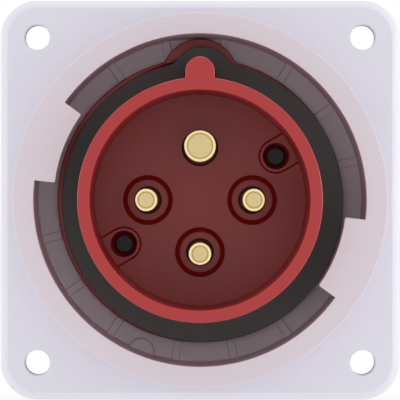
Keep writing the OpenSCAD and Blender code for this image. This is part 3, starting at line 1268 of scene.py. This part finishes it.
@dataclass(frozen=True)
class LockingRing:
    """Bayonet ring with a ribbed lip, two lugs and a fluted grip."""

    reach: Extent = reach_of("locking_ring")
    wall: float = 4.75
    lip_r: float = 30.8
    lip_t: float = 1.8
    bead_w: float = 5.0
    bead_h: float = 0.6
    edge_r: float = 0.2
    root_r: float = 0.4
    flutes: int = 36
    flute_depth: float = 0.9
    flute_r: float = 2.4
    flute_margin: float = 1.0
    flute_end: float = 0.9
    flute_blend: float = 0.16
    flute_end_steps: int = 6
    steps_per_flute: int = 14
    lug_angle: float = 158.7
    lug_span: float = 29.0
    lug_reach: float = 4.6
    lug_t: float = 6.0
    lug_ramp: float = 2.0
    lug_corner: float = 0.5
    lug_edge: float = 0.4
    ribs: int = 3
    rib_pitch: float = 21.0
    rib_w: float = 2.1
    rib_h: float = 0.5
    rib_r: float = 32.8
    rib_edge: float = 0.3
    rib_rise: float = 1.65
    rib_corner: float = 0.1
    pad_r: float = 3.0
    pad_h: float = 1.0
    notch_r: float = 32.25
    notch_span: float = 55.0
    travel: float = 40.0
    sink: float = 0.5

    @property
    def outer_r(self) -> float:
        """Radius over the beads."""
        return self.reach.right

    @property
    def inner_r(self) -> float:
        """Radius of the wall inside."""
        return self.outer_r - self.wall

    @property
    def grip_r(self) -> float:
        """Radius of the grip between the flutes."""
        return self.outer_r - self.bead_h

    @property
    def lip_front(self) -> float:
        """Level of the lip's front face."""
        return self.reach.back + self.lip_t

    def grip_radius(self, angle: float, radius: float, level: float) -> float:
        """Radius of the body with the flutes scooped out of the grip.

        Args:
            angle: Angle in degrees.
            radius: Radius of the plain body.
            level: Level along the axis.

        Returns:
            The radius there.
        """
        back = self.reach.back + self.bead_w + self.flute_margin
        front = self.reach.front - self.bead_w - self.flute_margin
        if abs(radius - self.grip_r) > TINY or not back < level < front:
            return radius
        pitch = FULL_TURN / self.flutes
        off = math.radians((angle + pitch / 2) % pitch - pitch / 2)
        middle = self.grip_r - self.flute_depth + self.flute_r
        across = middle * math.sin(off)
        if abs(across) >= self.flute_r:
            return radius
        scoop = middle * math.cos(off) - math.sqrt(self.flute_r ** 2 - across ** 2)
        overlap = max(self.flute_blend - abs(scoop - radius), 0.0) / self.flute_blend
        cut = radius - min(scoop, radius) + overlap ** 2 * self.flute_blend / 4
        inside = min(level - back, front - level, self.flute_end) / self.flute_end
        return radius - cut * math.sqrt(1 - (1 - inside) ** 2)

    def body(self) -> bpy.types.Mesh:
        """Turned body: lip, wall, two beads and the fluted grip."""
        back, front = self.reach.back, self.reach.front
        first, last = back + self.bead_w, front - self.bead_w
        bends = [math.pi / 2 * i / self.flute_end_steps for i in range(self.flute_end_steps + 1)]
        ends = [self.flute_end * (1 - math.cos(bend)) for bend in bends]
        grip_back, grip_front = first + self.flute_margin, last - self.flute_margin
        grip = sorted({grip_back + x for x in ends} | {grip_front - x for x in ends})
        corners = [
            Corner(self.lip_r, back, self.edge_r),
            Corner(self.outer_r, back, self.edge_r),
            Corner(self.outer_r, first - self.bead_h),
            Corner(self.grip_r, first),
            *(Corner(self.grip_r, level) for level in grip),
            Corner(self.grip_r, last),
            Corner(self.outer_r, last + self.bead_h),
            Corner(self.outer_r, front, self.edge_r),
            Corner(self.inner_r, front, self.edge_r),
            Corner(self.inner_r, self.lip_front, self.root_r),
            Corner(self.lip_r, self.lip_front, self.edge_r),
        ]
        steps = self.flutes * self.steps_per_flute
        return revolve(rounded_profile(corners), steps, self.grip_radius).mesh("ring_body")

    def lug(self, angle: float) -> bpy.types.Mesh:
        """Bayonet lug with a lead-in on its back face.

        Args:
            angle: Angle of its middle in degrees.

        Returns:
            The lug.
        """
        half = self.lug_span / 2
        inner = self.inner_r - self.lug_reach
        root = self.inner_r + self.wall / 2
        bend_r = inner + self.lug_corner
        bend = half - math.degrees(math.asin(self.lug_corner / bend_r))
        x, y = bend_r * math.cos(math.radians(bend)), bend_r * math.sin(math.radians(bend))
        outline = Outline((
            Arc((0.0, 0.0), root, -half, half, SECTOR_STEPS),
            Arc((x, y), self.lug_corner, half + QUARTER_TURN, bend + HALF_TURN, BEND_STEPS),
            Arc((0.0, 0.0), inner, bend, -bend, SECTOR_STEPS),
            Arc((x, -y), self.lug_corner, HALF_TURN - bend, 3 * QUARTER_TURN - half, BEND_STEPS),
        ))
        back = self.reach.front - self.lug_t
        front = self.reach.front - TINY
        draft = plate(Rim(outline, self.lug_edge, self.edge_r), [], back, front)
        half_w = self.inner_r * math.sin(math.radians(half))
        middle = back + self.lug_t / 2
        draft.points = [
            (px, py, pz + (max(py, 0.0) * self.lug_ramp / half_w if pz < middle else 0.0))
            for px, py, pz in draft.points
        ]
        return draft.mesh("lug", polar(angle))

    def rib(self) -> bpy.types.Mesh:
        """Low rib on the lip, at an angle of zero."""
        inner = self.rib_r - self.rib_edge
        length = self.inner_r + self.sink - inner
        corner = self.rib_edge + self.rib_corner
        box = rounded_box(length, self.rib_w, corner, FILLET_STEPS)
        outline = box.moved(inner + length / 2, 0.0)
        rim = Rim(outline, 0.0, self.rib_edge, CHAMFER, self.rib_rise)
        draft = plate(rim, [], self.lip_front - self.sink, self.lip_front + self.rib_h)
        return draft.mesh("rib")

    def ribs_round(self, copies: RadialCopies, finish: bpy.types.Material) -> list[bpy.types.Mesh]:
        """The ribs on both sides of both lugs.

        Args:
            copies: The tree that repeats them.
            finish: Their material.

        Returns:
            A mesh of ribs for each side of each lug.
        """
        return [
            copies.repeat(self.rib(), self.ribs,
                          self.lug_angle + turn + side * (self.lug_span / 2 + self.rib_pitch),
                          side * self.rib_pitch, finish)
            for turn in OPPOSITE for side in (-1.0, 1.0)
        ]

    def pad(self) -> bpy.types.Mesh:
        """Half-round pad on the lip, against the wall."""
        rim = Rim(circle(self.pad_r, steps=SMALL_STEPS), 0.0, self.rib_edge, CHAMFER, self.rib_rise)
        draft = plate(rim, [], self.lip_front - self.sink, self.lip_front + self.pad_h)
        return draft.mesh("pad", polar(self.lug_angle + QUARTER_TURN, self.inner_r))

    def notch(self) -> bpy.types.Mesh:
        """Cut in the lip for a stop, at an angle of zero."""
        half = self.notch_span / 2
        outline = ring_sector(self.lip_r - self.sink, self.notch_r, -half, half)
        draft = plate(Rim(outline), [], self.reach.back - self.sink, self.lip_front + self.sink)
        return draft.mesh("notch")

    def build(self, copies: RadialCopies, stop_angle: float) -> None:
        """Builds the ring.

        Args:
            copies: The tree that repeats its ribs and notches.
            stop_angle: Angle of the housing's first stop.
        """
        finish = RING_PLASTIC.material()
        first = stop_angle - self.travel / 2
        notches = copies.repeat(self.notch(), len(OPPOSITE), first, HALF_TURN, finish)
        lugs = [self.lug(self.lug_angle + turn) for turn in OPPOSITE]
        joined = [*lugs, self.pad(), *self.ribs_round(copies, finish)]
        mesh = combined(self.body(), joined, [notches])
        place_piece("ring_moulding", mesh, finish, ["locking_ring"], Body.RING)


@dataclass(frozen=True)
class Key:
    """Key on the shroud and the bump of the seat behind it."""

    width_r: float = 3.25
    middle: float = 28.35
    fillet: float = 0.35
    bump_r: float = 8.75
    bump_middle: float = 28.2
    bump_fillet: float = 1.2


@dataclass(frozen=True)
class Insert:
    """Sizes and places that the carrier shares with its gasket, pins, screws and holder."""

    reach: Extent = reach_of("shroud_carrier")
    inner_r: float = 24.25
    wall: float = 2.8
    depth: float = 40.6
    boss_len: float = 13.4
    pin_circle_r: float = 12.0
    phase_r: float = 2.5
    earth_r: float = 3.5
    seal_room: float = 2.0
    cup_depth: float = 2.0
    screw_angle: float = 30.0
    screw_circle_r: float = 20.2

    @property
    def outer_r(self) -> float:
        """Outer radius of the shroud."""
        return self.inner_r + self.wall

    @property
    def floor(self) -> float:
        """Level of the floor inside the shroud."""
        return self.reach.front - self.depth

    @property
    def boss_back(self) -> float:
        """Level of the back ends of the pin bosses."""
        return self.floor - self.boss_len

    def pin_r(self, direction: Direction) -> float:
        """Radius of the pin that stands in a direction."""
        return self.earth_r if direction is Direction.TOP else self.phase_r


@dataclass(frozen=True)
class ShroudCarrier:
    """Red moulding: keyed shroud, floor with cups and wells, gasket seat and barrel."""

    key: Key
    insert: Insert
    gasket: Extent = reach_of("face_gasket")
    rim_edge: float = 0.4
    seat_r: float = 32.6
    seat_t: float = 3.0
    seat_edge: float = 0.3
    bump_t: float = 2.2
    barrel_r: float = 28.0
    barrel_wall: float = 2.0
    groove_r: float = 26.45
    groove_w: float = 2.6
    floor_t: float = 4.0
    pin_gap: float = 0.7
    seal_len: float = 1.45
    phase_boss_r: float = 7.25
    earth_boss_r: float = 7.1
    cup_floor_r: float = 4.78
    cup_mouth_r: float = 5.75
    cup_foot: float = 0.45
    well_mouth_r: float = 3.05
    well_floor_r: float = 2.15
    well_depth: float = 3.4
    well_pad_r: float = 4.05
    well_pad_h: float = 0.6
    well_pad_edge: float = 0.46
    well_pad_rise: float = 1.3
    well_boss_r: float = 4.55
    well_boss_back: float = -8.3
    shank_r: float = 1.45
    soft_edge: float = 0.15
    sink: float = 0.5

    def shroud(self) -> bpy.types.Mesh:
        """Keyed tube in front of the floor."""
        key, insert = self.key, self.insert
        outline = keyed_circle(insert.outer_r, key.width_r, key.middle, key.fillet)
        bore = Rim(circle(insert.inner_r), 0.0, self.rim_edge)
        draft = plate(Rim(outline, 0.0, self.rim_edge), [bore], self.gasket.back - self.seat_t / 2,
                      insert.reach.front)
        return draft.mesh("shroud")

    def body(self) -> bpy.types.Mesh:
        """Turned floor, seat and barrel."""
        floor, back, inner_r = self.insert.floor, self.insert.reach.back, self.insert.inner_r + TINY
        floor_back = floor - self.floor_t
        groove = floor_back + self.floor_t / 2
        seat_front, seat_back = self.gasket.back, self.gasket.back - self.seat_t
        barrel_in = self.barrel_r - self.barrel_wall
        return turned(
            Corner(0.0, floor_back),
            Corner(barrel_in, floor_back),
            Corner(barrel_in, back, self.soft_edge),
            Corner(self.barrel_r, back, self.seat_edge),
            Corner(self.barrel_r, groove - self.groove_w / 2),
            Corner(self.groove_r, groove - self.groove_w / 2),
            Corner(self.groove_r, groove + self.groove_w / 2),
            Corner(self.barrel_r, groove + self.groove_w / 2),
            Corner(self.barrel_r, seat_back),
            Corner(self.seat_r, seat_back, self.seat_edge),
            Corner(self.seat_r, seat_front, self.seat_edge),
            Corner(inner_r, seat_front),
            Corner(inner_r, floor),
            Corner(0.0, floor),
        ).mesh("carrier_body")

    def bump(self) -> bpy.types.Mesh:
        """Part of the seat that stands out behind the key."""
        outline = bumped_circle(self.seat_r - TINY, self.key.bump_r, self.key.bump_middle,
                                self.key.bump_fillet)
        bore = Rim(circle(self.insert.inner_r + self.insert.wall / 2))
        front = self.gasket.back
        return plate(Rim(outline, self.soft_edge, self.seat_edge), [bore], front - self.bump_t,
                     front - TINY).mesh("bump")

    def well_pad(self, angle: float) -> bpy.types.Mesh:
        """Raised pad round a screw well, open towards the shroud's wall.

        Args:
            angle: Angle of the well in degrees.

        Returns:
            The pad.
        """
        insert = self.insert
        corner = self.well_pad_edge + self.soft_edge
        end, side = insert.inner_r + insert.wall / 2 - corner, self.well_pad_r - corner
        outline = Outline((
            Arc((insert.screw_circle_r, 0.0), self.well_pad_r,
                QUARTER_TURN, 3 * QUARTER_TURN, BUMP_STEPS),
            Arc((end, -side), corner, 3 * QUARTER_TURN, FULL_TURN, CORNER_STEPS),
            Arc((end, side), corner, 0.0, QUARTER_TURN, CORNER_STEPS),
        ))
        rim = Rim(outline, 0.0, self.well_pad_edge, CHAMFER, self.well_pad_rise)
        draft = plate(rim, [], insert.floor - 2 * self.sink, insert.floor + self.well_pad_h)
        return draft.mesh("well_pad", polar(angle))

    def bosses(self) -> list[bpy.types.Mesh]:
        """Round bosses behind the floor, for the pins and the screws."""
        insert = self.insert
        front = insert.floor - self.floor_t + self.sink
        made = []
        for direction in Direction:
            radius = self.earth_boss_r if direction is Direction.TOP else self.phase_boss_r
            made.append(rod(radius, insert.boss_back, front).mesh(
                "pin_boss", polar(direction.value, insert.pin_circle_r)))
        for turn in OPPOSITE:
            made.append(rod(self.well_boss_r, self.well_boss_back, front).mesh(
                "screw_boss", polar(insert.screw_angle + turn, insert.screw_circle_r)))
        return made

    def pin_way(self, direction: Direction) -> bpy.types.Mesh:
        """Way of a pin through the floor, with its cup and the seat of its seal.

        Args:
            direction: Where the pin stands.

        Returns:
            The shape to cut out.
        """
        insert = self.insert
        bore_r = insert.pin_r(direction) + self.pin_gap
        seal_r = insert.pin_r(direction) + insert.seal_room
        seal_back, seal_front = insert.boss_back - self.sink, insert.boss_back + self.seal_len
        front = insert.floor + self.sink
        cup_back = insert.floor - insert.cup_depth
        slope = (self.cup_mouth_r - self.cup_floor_r) / insert.cup_depth
        mouth = [Corner(bore_r, front)] if direction is Direction.TOP else [
            Corner(bore_r, cup_back),
            Corner(self.cup_floor_r, cup_back, self.cup_foot),
            Corner(self.cup_mouth_r + slope * self.sink, front),
        ]
        draft = turned(
            Corner(0.0, seal_back),
            Corner(seal_r, seal_back),
            Corner(seal_r, seal_front),
            Corner(bore_r, seal_front),
            *mouth,
            Corner(0.0, front),
            steps=PIN_STEPS,
        )
        return draft.mesh("pin_way", polar(direction.value, insert.pin_circle_r))

    def well(self, angle: float) -> bpy.types.Mesh:
        """Well of an insert screw and the way of its shank.

        Args:
            angle: Angle of the well in degrees.

        Returns:
            The shape to cut out.
        """
        mouth = self.insert.floor + self.well_pad_h
        back = mouth - self.well_depth
        slope = (self.well_mouth_r - self.well_floor_r) / self.well_depth
        draft = turned(
            Corner(0.0, self.well_boss_back - self.sink),
            Corner(self.shank_r, self.well_boss_back - self.sink),
            Corner(self.shank_r, back),
            Corner(self.well_floor_r, back, self.soft_edge),
            Corner(self.well_mouth_r + slope * self.sink, mouth + self.sink),
            Corner(0.0, mouth + self.sink),
            steps=SMALL_STEPS,
        )
        return draft.mesh("well", polar(angle, self.insert.screw_circle_r))

    def build(self) -> None:
        """Builds the carrier."""
        wells = [self.insert.screw_angle + turn for turn in OPPOSITE]
        joined = [self.shroud(), self.bump(), *(self.well_pad(a) for a in wells), *self.bosses()]
        cut = [*(self.pin_way(d) for d in Direction), *(self.well(a) for a in wells)]
        mesh = combined(self.body(), joined, cut)
        place_piece("carrier_moulding", mesh, RED_PLASTIC.material(), ["shroud_carrier"])


@dataclass(frozen=True)
class FaceGasket:
    """Gasket round the shroud that the connector's collar presses on."""

    key: Key
    insert: Insert
    reach: Extent = reach_of("face_gasket")
    outer_r: float = 32.1
    bump_r: float = 7.2
    bump_fillet: float = 2.5
    shift: Point = (0.6, -0.35)
    gap: float = 0.25
    edge_r: float = 0.35

    def build(self, rubber: bpy.types.Material) -> None:
        """Builds the gasket.

        Args:
            rubber: Its material.
        """
        key, gap = self.key, self.gap
        outer = bumped_circle(self.outer_r, self.bump_r, key.bump_middle, self.bump_fillet)
        inner = keyed_circle(self.insert.outer_r + gap, key.width_r + gap, key.middle, key.fillet)
        rim = Rim(outer.moved(*self.shift), self.edge_r, self.edge_r)
        bore = Rim(inner, self.edge_r, self.edge_r)
        draft = plate(rim, [bore], self.reach.back, self.reach.front)
        place_piece("face_gasket_ring", draft.mesh("face_gasket_ring"), rubber,
                    ["face_gasket"])


@dataclass(frozen=True)
class ContactPin:
    """Turned pin with a collar and a drilled terminal behind."""

    node: str
    direction: Direction
    insert: Insert
    chamfer_w: float = 0.52
    chamfer_h: float = 0.24
    chamfer_edge: float = 0.06
    mark_in: float = 0.76
    mark_w: float = 0.22
    mark_depth: float = 0.12
    shank_r_gain: float = 0.55
    shank_drop: float = 2.0
    collar_back: float = -8.5
    collar_gain: float = 0.8
    terminal_r: float = 4.4
    terminal_edge: float = 0.3
    wire_r: float = 2.2
    wire_depth: float = 11.0
    wire_chamfer: float = 0.5
    clamp_r: float = 1.8
    sink: float = 0.5

    @property
    def radius(self) -> float:
        """Radius of the contact."""
        return self.insert.pin_r(self.direction)

    @property
    def disc_r(self) -> float:
        """Radius of the flat disc at the tip."""
        return self.radius - self.chamfer_w

    @property
    def mark_r(self) -> float:
        """Radius of the faint turned ring on the tip."""
        return self.radius - self.mark_in

    @property
    def shank_front(self) -> float:
        """Level where the thicker shank starts, a little inside the pin's way."""
        cup = 0.0 if self.direction is Direction.TOP else self.insert.cup_depth
        return self.insert.floor - cup - self.shank_drop

    def blank(self, reach: Extent, place: Matrix) -> bpy.types.Mesh:
        """Turned pin before it is drilled.

        Args:
            reach: The pin's reach along the axis.
            place: Where the pin stands.

        Returns:
            The blank.
        """
        shank_r, shank_front = self.radius + self.shank_r_gain, self.shank_front
        boss_back = self.insert.boss_back
        collar_r = max(self.terminal_r, self.radius + self.insert.seal_room) + self.collar_gain
        return turned(
            Corner(0.0, reach.back),
            Corner(self.terminal_r, reach.back, self.terminal_edge),
            Corner(self.terminal_r, self.collar_back),
            Corner(collar_r, self.collar_back, self.terminal_edge),
            Corner(collar_r, boss_back, self.terminal_edge),
            Corner(shank_r, boss_back),
            Corner(shank_r, shank_front),
            Corner(self.radius, shank_front),
            Corner(self.radius, reach.front - self.chamfer_h, self.chamfer_edge),
            Corner(self.disc_r, reach.front),
            Corner(self.mark_r + self.mark_w / 2, reach.front),
            Corner(self.mark_r, reach.front - self.mark_depth),
            Corner(self.mark_r - self.mark_w / 2, reach.front),
            Corner(0.0, reach.front),
            steps=PIN_STEPS,
        ).mesh("pin_blank", place)

    def drills(self, reach: Extent, place: Matrix) -> list[bpy.types.Mesh]:
        """Wire hole with its chamfer, and the hole of the clamping screw.

        Args:
            reach: The pin's reach along the axis.
            place: Where the pin stands.

        Returns:
            The shapes to cut out.
        """
        back = reach.back
        mouth_r = self.wire_r + self.wire_chamfer + self.sink
        wire = turned(
            Corner(0.0, back - self.sink),
            Corner(mouth_r, back - self.sink),
            Corner(self.wire_r, back + self.wire_chamfer),
            Corner(self.wire_r, back + self.wire_depth),
            Corner(0.0, back + self.wire_depth),
            steps=SMALL_STEPS,
        ).mesh("wire_hole", place)
        across = place @ Matrix.Translation((0.0, 0.0, back + self.wire_depth / 2)) @ SIDEWAYS
        clamp = rod(self.clamp_r, 0.0, 2 * self.terminal_r).mesh("clamp_hole", across)
        return [wire, clamp]

    def build(self) -> None:
        """Builds the pin with brass of its own, whose lines follow its axis."""
        reach = Extent.of(self.node)
        place = polar(self.direction.value, self.insert.pin_circle_r)
        mesh = combined(self.blank(reach, place), [], self.drills(reach, place))
        # Its last two levels bound the painted shade on the shank
        brass = TurnedBrass(
            f"brass of {self.node}", tuple(place.translation[:2]), self.disc_r,
            reach.front - self.chamfer_h - self.sink, self.insert.boss_back, self.shank_front)
        place_piece(f"{self.node}_turned", mesh, brass.material(), [self.node])


@dataclass(frozen=True)
class InsertScrews:
    """Two dark screws sunk in the floor of the shroud."""

    insert: Insert
    head_r: float = 2.0
    head_back: float = 4.6
    head_h: float = 2.0
    head_edge: float = 0.35
    head_back_edge: float = 0.1
    shank_r: float = 1.25
    tip: float = -15.5
    tip_edge: float = 0.3
    drive_w: float = 0.7
    drive_l: float = 2.67
    drive_depth: float = 1.0
    drive_corner: float = 0.15

    def build(self, copies: RadialCopies) -> None:
        """Builds the screws.

        Args:
            copies: The tree that repeats them.
        """
        finish = BLACK_STEEL.material()
        front = self.head_back + self.head_h
        place = polar(0.0, self.insert.screw_circle_r)
        blank = turned(
            Corner(0.0, self.tip),
            Corner(self.shank_r, self.tip, self.tip_edge),
            Corner(self.shank_r, self.head_back),
            Corner(self.head_r, self.head_back, self.head_back_edge),
            Corner(self.head_r, front, self.head_edge),
            Corner(0.0, front),
            steps=SMALL_STEPS,
        ).mesh("screw", place)
        slit = Rim(rounded_box(self.drive_l, self.drive_w, self.drive_corner, CORNER_STEPS))
        drives = [
            plate(slit, [], front - self.drive_depth, front + self.drive_depth).mesh(
                "drive", place @ polar(turn))
            for turn in DIAGONALS
        ]
        screw = combined(blank, [], drives)
        mesh = copies.repeat(screw, len(OPPOSITE), self.insert.screw_angle, HALF_TURN, finish)
        place_piece("insert_screw_pair", mesh, finish, ["insert_screws"])


@dataclass(frozen=True)
class RearHolder:
    """Dark rear half that holds the pins in and parts the terminals."""

    insert: Insert
    reach: Extent = reach_of("rear_holder")
    rim_t: float = 3.0
    plug_r: float = 25.8
    rim_edge: float = 0.6
    bore_r: float = 4.6
    guide_wall: float = 1.6
    guide_h: float = 3.0
    guide_edge: float = 0.35
    barrier_t: float = 2.4
    barrier_l: float = 49.6
    barrier_edge: float = 0.4
    barrier_drop: float = 14.0
    screw_r: float = 1.3
    screw_back: float = -16.5
    sink: float = 0.5

    def build(self, copies: RadialCopies) -> None:
        """Builds the holder.

        Args:
            copies: The tree that repeats its guides and bores.
        """
        finish = HOLDER_PLASTIC.material()
        front = self.reach.front
        rim_back = self.reach.back + self.barrier_drop
        rim_front = rim_back + self.rim_t
        guide_back = rim_back - self.guide_h
        guide_r = self.bore_r + self.guide_wall
        body = turned(
            Corner(0.0, rim_back),
            Corner(self.reach.right, rim_back, self.rim_edge),
            Corner(self.reach.right, rim_front, self.rim_edge / 2),
            Corner(self.plug_r, rim_front),
            Corner(self.plug_r, front, self.rim_edge),
            Corner(0.0, front),
        ).mesh("holder")
        at_pin = polar(0.0, self.insert.pin_circle_r)
        at_screw = polar(0.0, self.insert.screw_circle_r)
        guide = turned(
            Corner(0.0, guide_back),
            Corner(guide_r, guide_back, self.guide_edge),
            Corner(guide_r, rim_back + self.sink),
            Corner(0.0, rim_back + self.sink),
            steps=PIN_STEPS,
        ).mesh("guide", at_pin)
        wall = rounded_box(self.barrier_l, self.barrier_t, 2 * self.barrier_edge, BEND_STEPS)
        barriers = [
            plate(Rim(wall, self.barrier_edge), [], self.reach.back, rim_back + self.sink).mesh(
                "barrier", polar(angle))
            for angle in DIAGONALS
        ]
        bore = rod(self.bore_r, guide_back - self.sink, front + self.sink, PIN_STEPS).mesh(
            "bore", at_pin)
        hole = rod(self.screw_r, self.screw_back, front + self.sink).mesh("hole", at_screw)
        guides, bores = (
            copies.repeat(mesh, len(Direction), 0.0, QUARTER_TURN, finish) for mesh in (guide, bore)
        )
        holes = copies.repeat(hole, len(OPPOSITE), self.insert.screw_angle, HALF_TURN, finish)
        mesh = combined(body, [guides, *barriers], [bores, holes])
        place_piece("holder_moulding", mesh, finish, ["rear_holder"])


@dataclass(frozen=True)
class TerminalScrews:
    """Slotted clamping screws in the terminals, backed off from the wire holes."""

    insert: Insert
    level: float = -25.5
    thread_r: float = 1.75
    thread_pitch: float = 0.6
    thread_depth: float = 0.3
    thread_steps: int = 8
    tip: float = 2.4
    head_from: float = 5.6
    head_to: float = 7.8
    head_r: float = 3.0
    head_edge: float = 0.35
    head_back_edge: float = 0.15
    slot_w: float = 0.9
    slot_depth: float = 1.1
    slot_corner: float = 0.1

    def thread_radius(self, angle: float, radius: float, level: float) -> float:
        """Radius of the shank with its thread.

        Args:
            angle: Angle in degrees.
            radius: Radius of the plain screw.
            level: Level along the screw.

        Returns:
            The radius there.
        """
        if abs(radius - self.thread_r) > TINY or level > self.head_from - self.thread_depth:
            return radius
        turn = (level / self.thread_pitch - angle / FULL_TURN) % 1.0
        return radius - self.thread_depth * abs(2 * turn - 1)

    def build(self, copies: RadialCopies) -> None:
        """Builds the screws.

        Args:
            copies: The tree that repeats them.
        """
        finish = BRIGHT_STEEL.material()
        count = round((self.head_from - self.tip) / self.thread_pitch * self.thread_steps)
        levels = [self.tip + (self.head_from - self.tip) * i / count for i in range(count + 1)]
        profile = rounded_profile([
            Corner(0.0, self.tip),
            *(Corner(self.thread_r, level) for level in levels),
            Corner(self.head_r, self.head_from, self.head_back_edge),
            Corner(self.head_r, self.head_to, self.head_edge),
            Corner(0.0, self.head_to),
        ])
        place = polar(0.0, self.insert.pin_circle_r, self.level) @ SIDEWAYS
        blank = revolve(profile, SMALL_STEPS, self.thread_radius).mesh("clamp_screw", place)
        slit = Rim(rounded_box(4 * self.head_r, self.slot_w, self.slot_corner, SLOT_STEPS))
        slot = plate(slit, [], self.head_to - self.slot_depth, self.head_to + self.slot_depth)
        screw = combined(blank, [], [slot.mesh("slot", place)])
        mesh = copies.repeat(screw, len(Direction), 0.0, QUARTER_TURN, finish)
        place_piece("terminal_screw_set", mesh, finish, ["terminal_screws"])


@dataclass(frozen=True)
class SealRings:
    """Seal rings inside, which keep the frame's own shapes."""

    nodes: tuple[str, ...] = (
        "carrier_o_ring", "earth_pin_seal", "phase_pin_seal_left", "phase_pin_seal_right",
        "phase_pin_seal_bottom",
    )

    def build(self, rubber: bpy.types.Material) -> None:
        """Dresses the rings.

        Args:
            rubber: Their material.
        """
        for name in self.nodes:
            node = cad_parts[name]
            node.data.materials.clear()
            node.data.materials.append(rubber)
            LOG.info("%s: dressed in %s", name, rubber.name)


# Light, floor and camera


@dataclass(frozen=True)
class Studio:
    """Camera on the pin axis, an even white surround, soft panels and a pale floor.

    The panels' places and sizes and the floor's size are in metres, other lengths in millimetres.
    """

    frame_px: float = 400.0
    focal_px: float = 3906.0
    distance: float = 907.0
    sensor: float = 36.0
    floor_level: float = -46.6
    floor_size: float = 12.0
    floor_colour: Colour = (0.86, 0.86, 0.86)
    floor_glow: float = 1.1
    floor_share: float = 0.8
    floor_shadow: float = 0.25
    floor_patch: float = 60.0
    floor_patch_detail: float = 3.0
    floor_patch_tone: float = 0.03
    light: float = 0.89
    panel_size: float = 0.36
    panels_at: tuple[tuple[Point3, float], ...] = (
        ((0.7, 0.05, 0.0), 1.9), ((-0.7, 0.1, 0.0), 1.0), ((0.0, 0.08, 0.7), 0.95),
    )
    fill_at: Point3 = (0.05, -1.1, 0.0)
    fill_watts: float = 0.5

    def camera(self) -> None:
        """Sets up the camera, level with the axis and straight in front."""
        lens = bpy.data.cameras.new("camera")
        lens.sensor_width = self.sensor
        lens.lens = self.sensor * self.focal_px / self.frame_px
        made = bpy.data.objects.new("camera", lens)
        made.location = (0.0, -self.distance * MM, 0.0)
        made.rotation_euler = (math.radians(QUARTER_TURN), 0.0, 0.0)
        bpy.context.scene.collection.objects.link(made)
        bpy.context.scene.camera = made

    def surround(self) -> None:
        """Sets up the even light from all round, pure white to the camera and in reflections."""
        world = bpy.data.worlds.new("surround")
        bpy.context.scene.world = world
        world.use_nodes = True
        graph = Graph(world.node_tree)
        level = self.light + graph.seen() * (1.0 - self.light)
        light = graph.node("ShaderNodeBackground", {}, {"Color": WHITE, "Strength": level})
        graph.node("ShaderNodeOutputWorld", {}, {"Surface": light})

    def panels(self) -> None:
        """Hangs soft panels right, left and above, and a fill light behind the camera."""
        for place, watts in self.panels_at:
            self.panel(place, watts)
        self.panel(self.fill_at, self.fill_watts).visible_glossy = False

    def panel(self, place: Point3, watts: float) -> bpy.types.Object:
        """Hangs one soft panel that faces the inlet.

        Args:
            place: Where it hangs, in metres.
            watts: Its power.

        Returns:
            The panel.
        """
        light = bpy.data.lights.new("panel", "AREA")
        light.size = self.panel_size
        light.energy = watts
        made = bpy.data.objects.new("panel", light)
        made.location = place
        made.rotation_euler = Vector(place).to_track_quat("Z", "Y").to_euler()
        made.visible_camera = False
        bpy.context.scene.collection.objects.link(made)
        return made

    def floor(self) -> None:
        """Lays a pale, softly lit floor under the flange."""
        half = self.floor_size / 2
        mesh = bpy.data.meshes.new("floor")
        corners = [(-half, -half), (half, -half), (half, half), (-half, half)]
        mesh.from_pydata([(x, y, self.floor_level * MM) for x, y in corners], [], [(0, 1, 2, 3)])
        graph = Surface("pale floor")
        patches = graph.noise(graph.place, self.floor_patch, self.floor_patch_detail)
        colour = graph.tinted(self.floor_colour, 1.0 + patches.swing(self.floor_patch_tone))
        matt = graph.node("ShaderNodeBsdfDiffuse", {}, {"Color": colour})
        glow = graph.node("ShaderNodeEmission", {}, {"Color": WHITE, "Strength": self.floor_glow})
        share = self.floor_share - graph.seen() * self.floor_shadow
        mix = graph.node("ShaderNodeMixShader", {}, {0: share, 1: matt, 2: glow})
        graph.node("ShaderNodeOutputMaterial", {}, {"Surface": mix})
        mesh.materials.append(graph.material)
        linked("floor", mesh)

    def build(self) -> None:
        """Sets up the whole studio."""
        bpy.context.scene.view_settings.view_transform = "Standard"
        self.camera()
        self.surround()
        self.panels()
        self.floor()


def main() -> None:
    """Builds the studio and the inlet's pieces."""
    logging.basicConfig(level=logging.INFO, format="%(name)s: %(message)s")
    Studio().build()
    copies = RadialCopies()
    rubber = BLACK_RUBBER.material()
    housing = FlangeHousing()
    housing.build(copies)
    PanelGasket(housing).build(rubber)
    LockingRing().build(copies, housing.stop_angle)
    key, insert = Key(), Insert()
    ShroudCarrier(key, insert).build()
    FaceGasket(key, insert).build(rubber)
    for node, direction in (
        ("earth_pin", Direction.TOP),
        ("phase_pin_left", Direction.LEFT),
        ("phase_pin_right", Direction.RIGHT),
        ("phase_pin_bottom", Direction.BOTTOM),
    ):
        ContactPin(node, direction, insert).build()
    InsertScrews(insert).build(copies)
    RearHolder(insert).build(copies)
    TerminalScrews(insert).build(copies)
    SealRings().build(rubber)


if __name__ == "__main__":
    main()
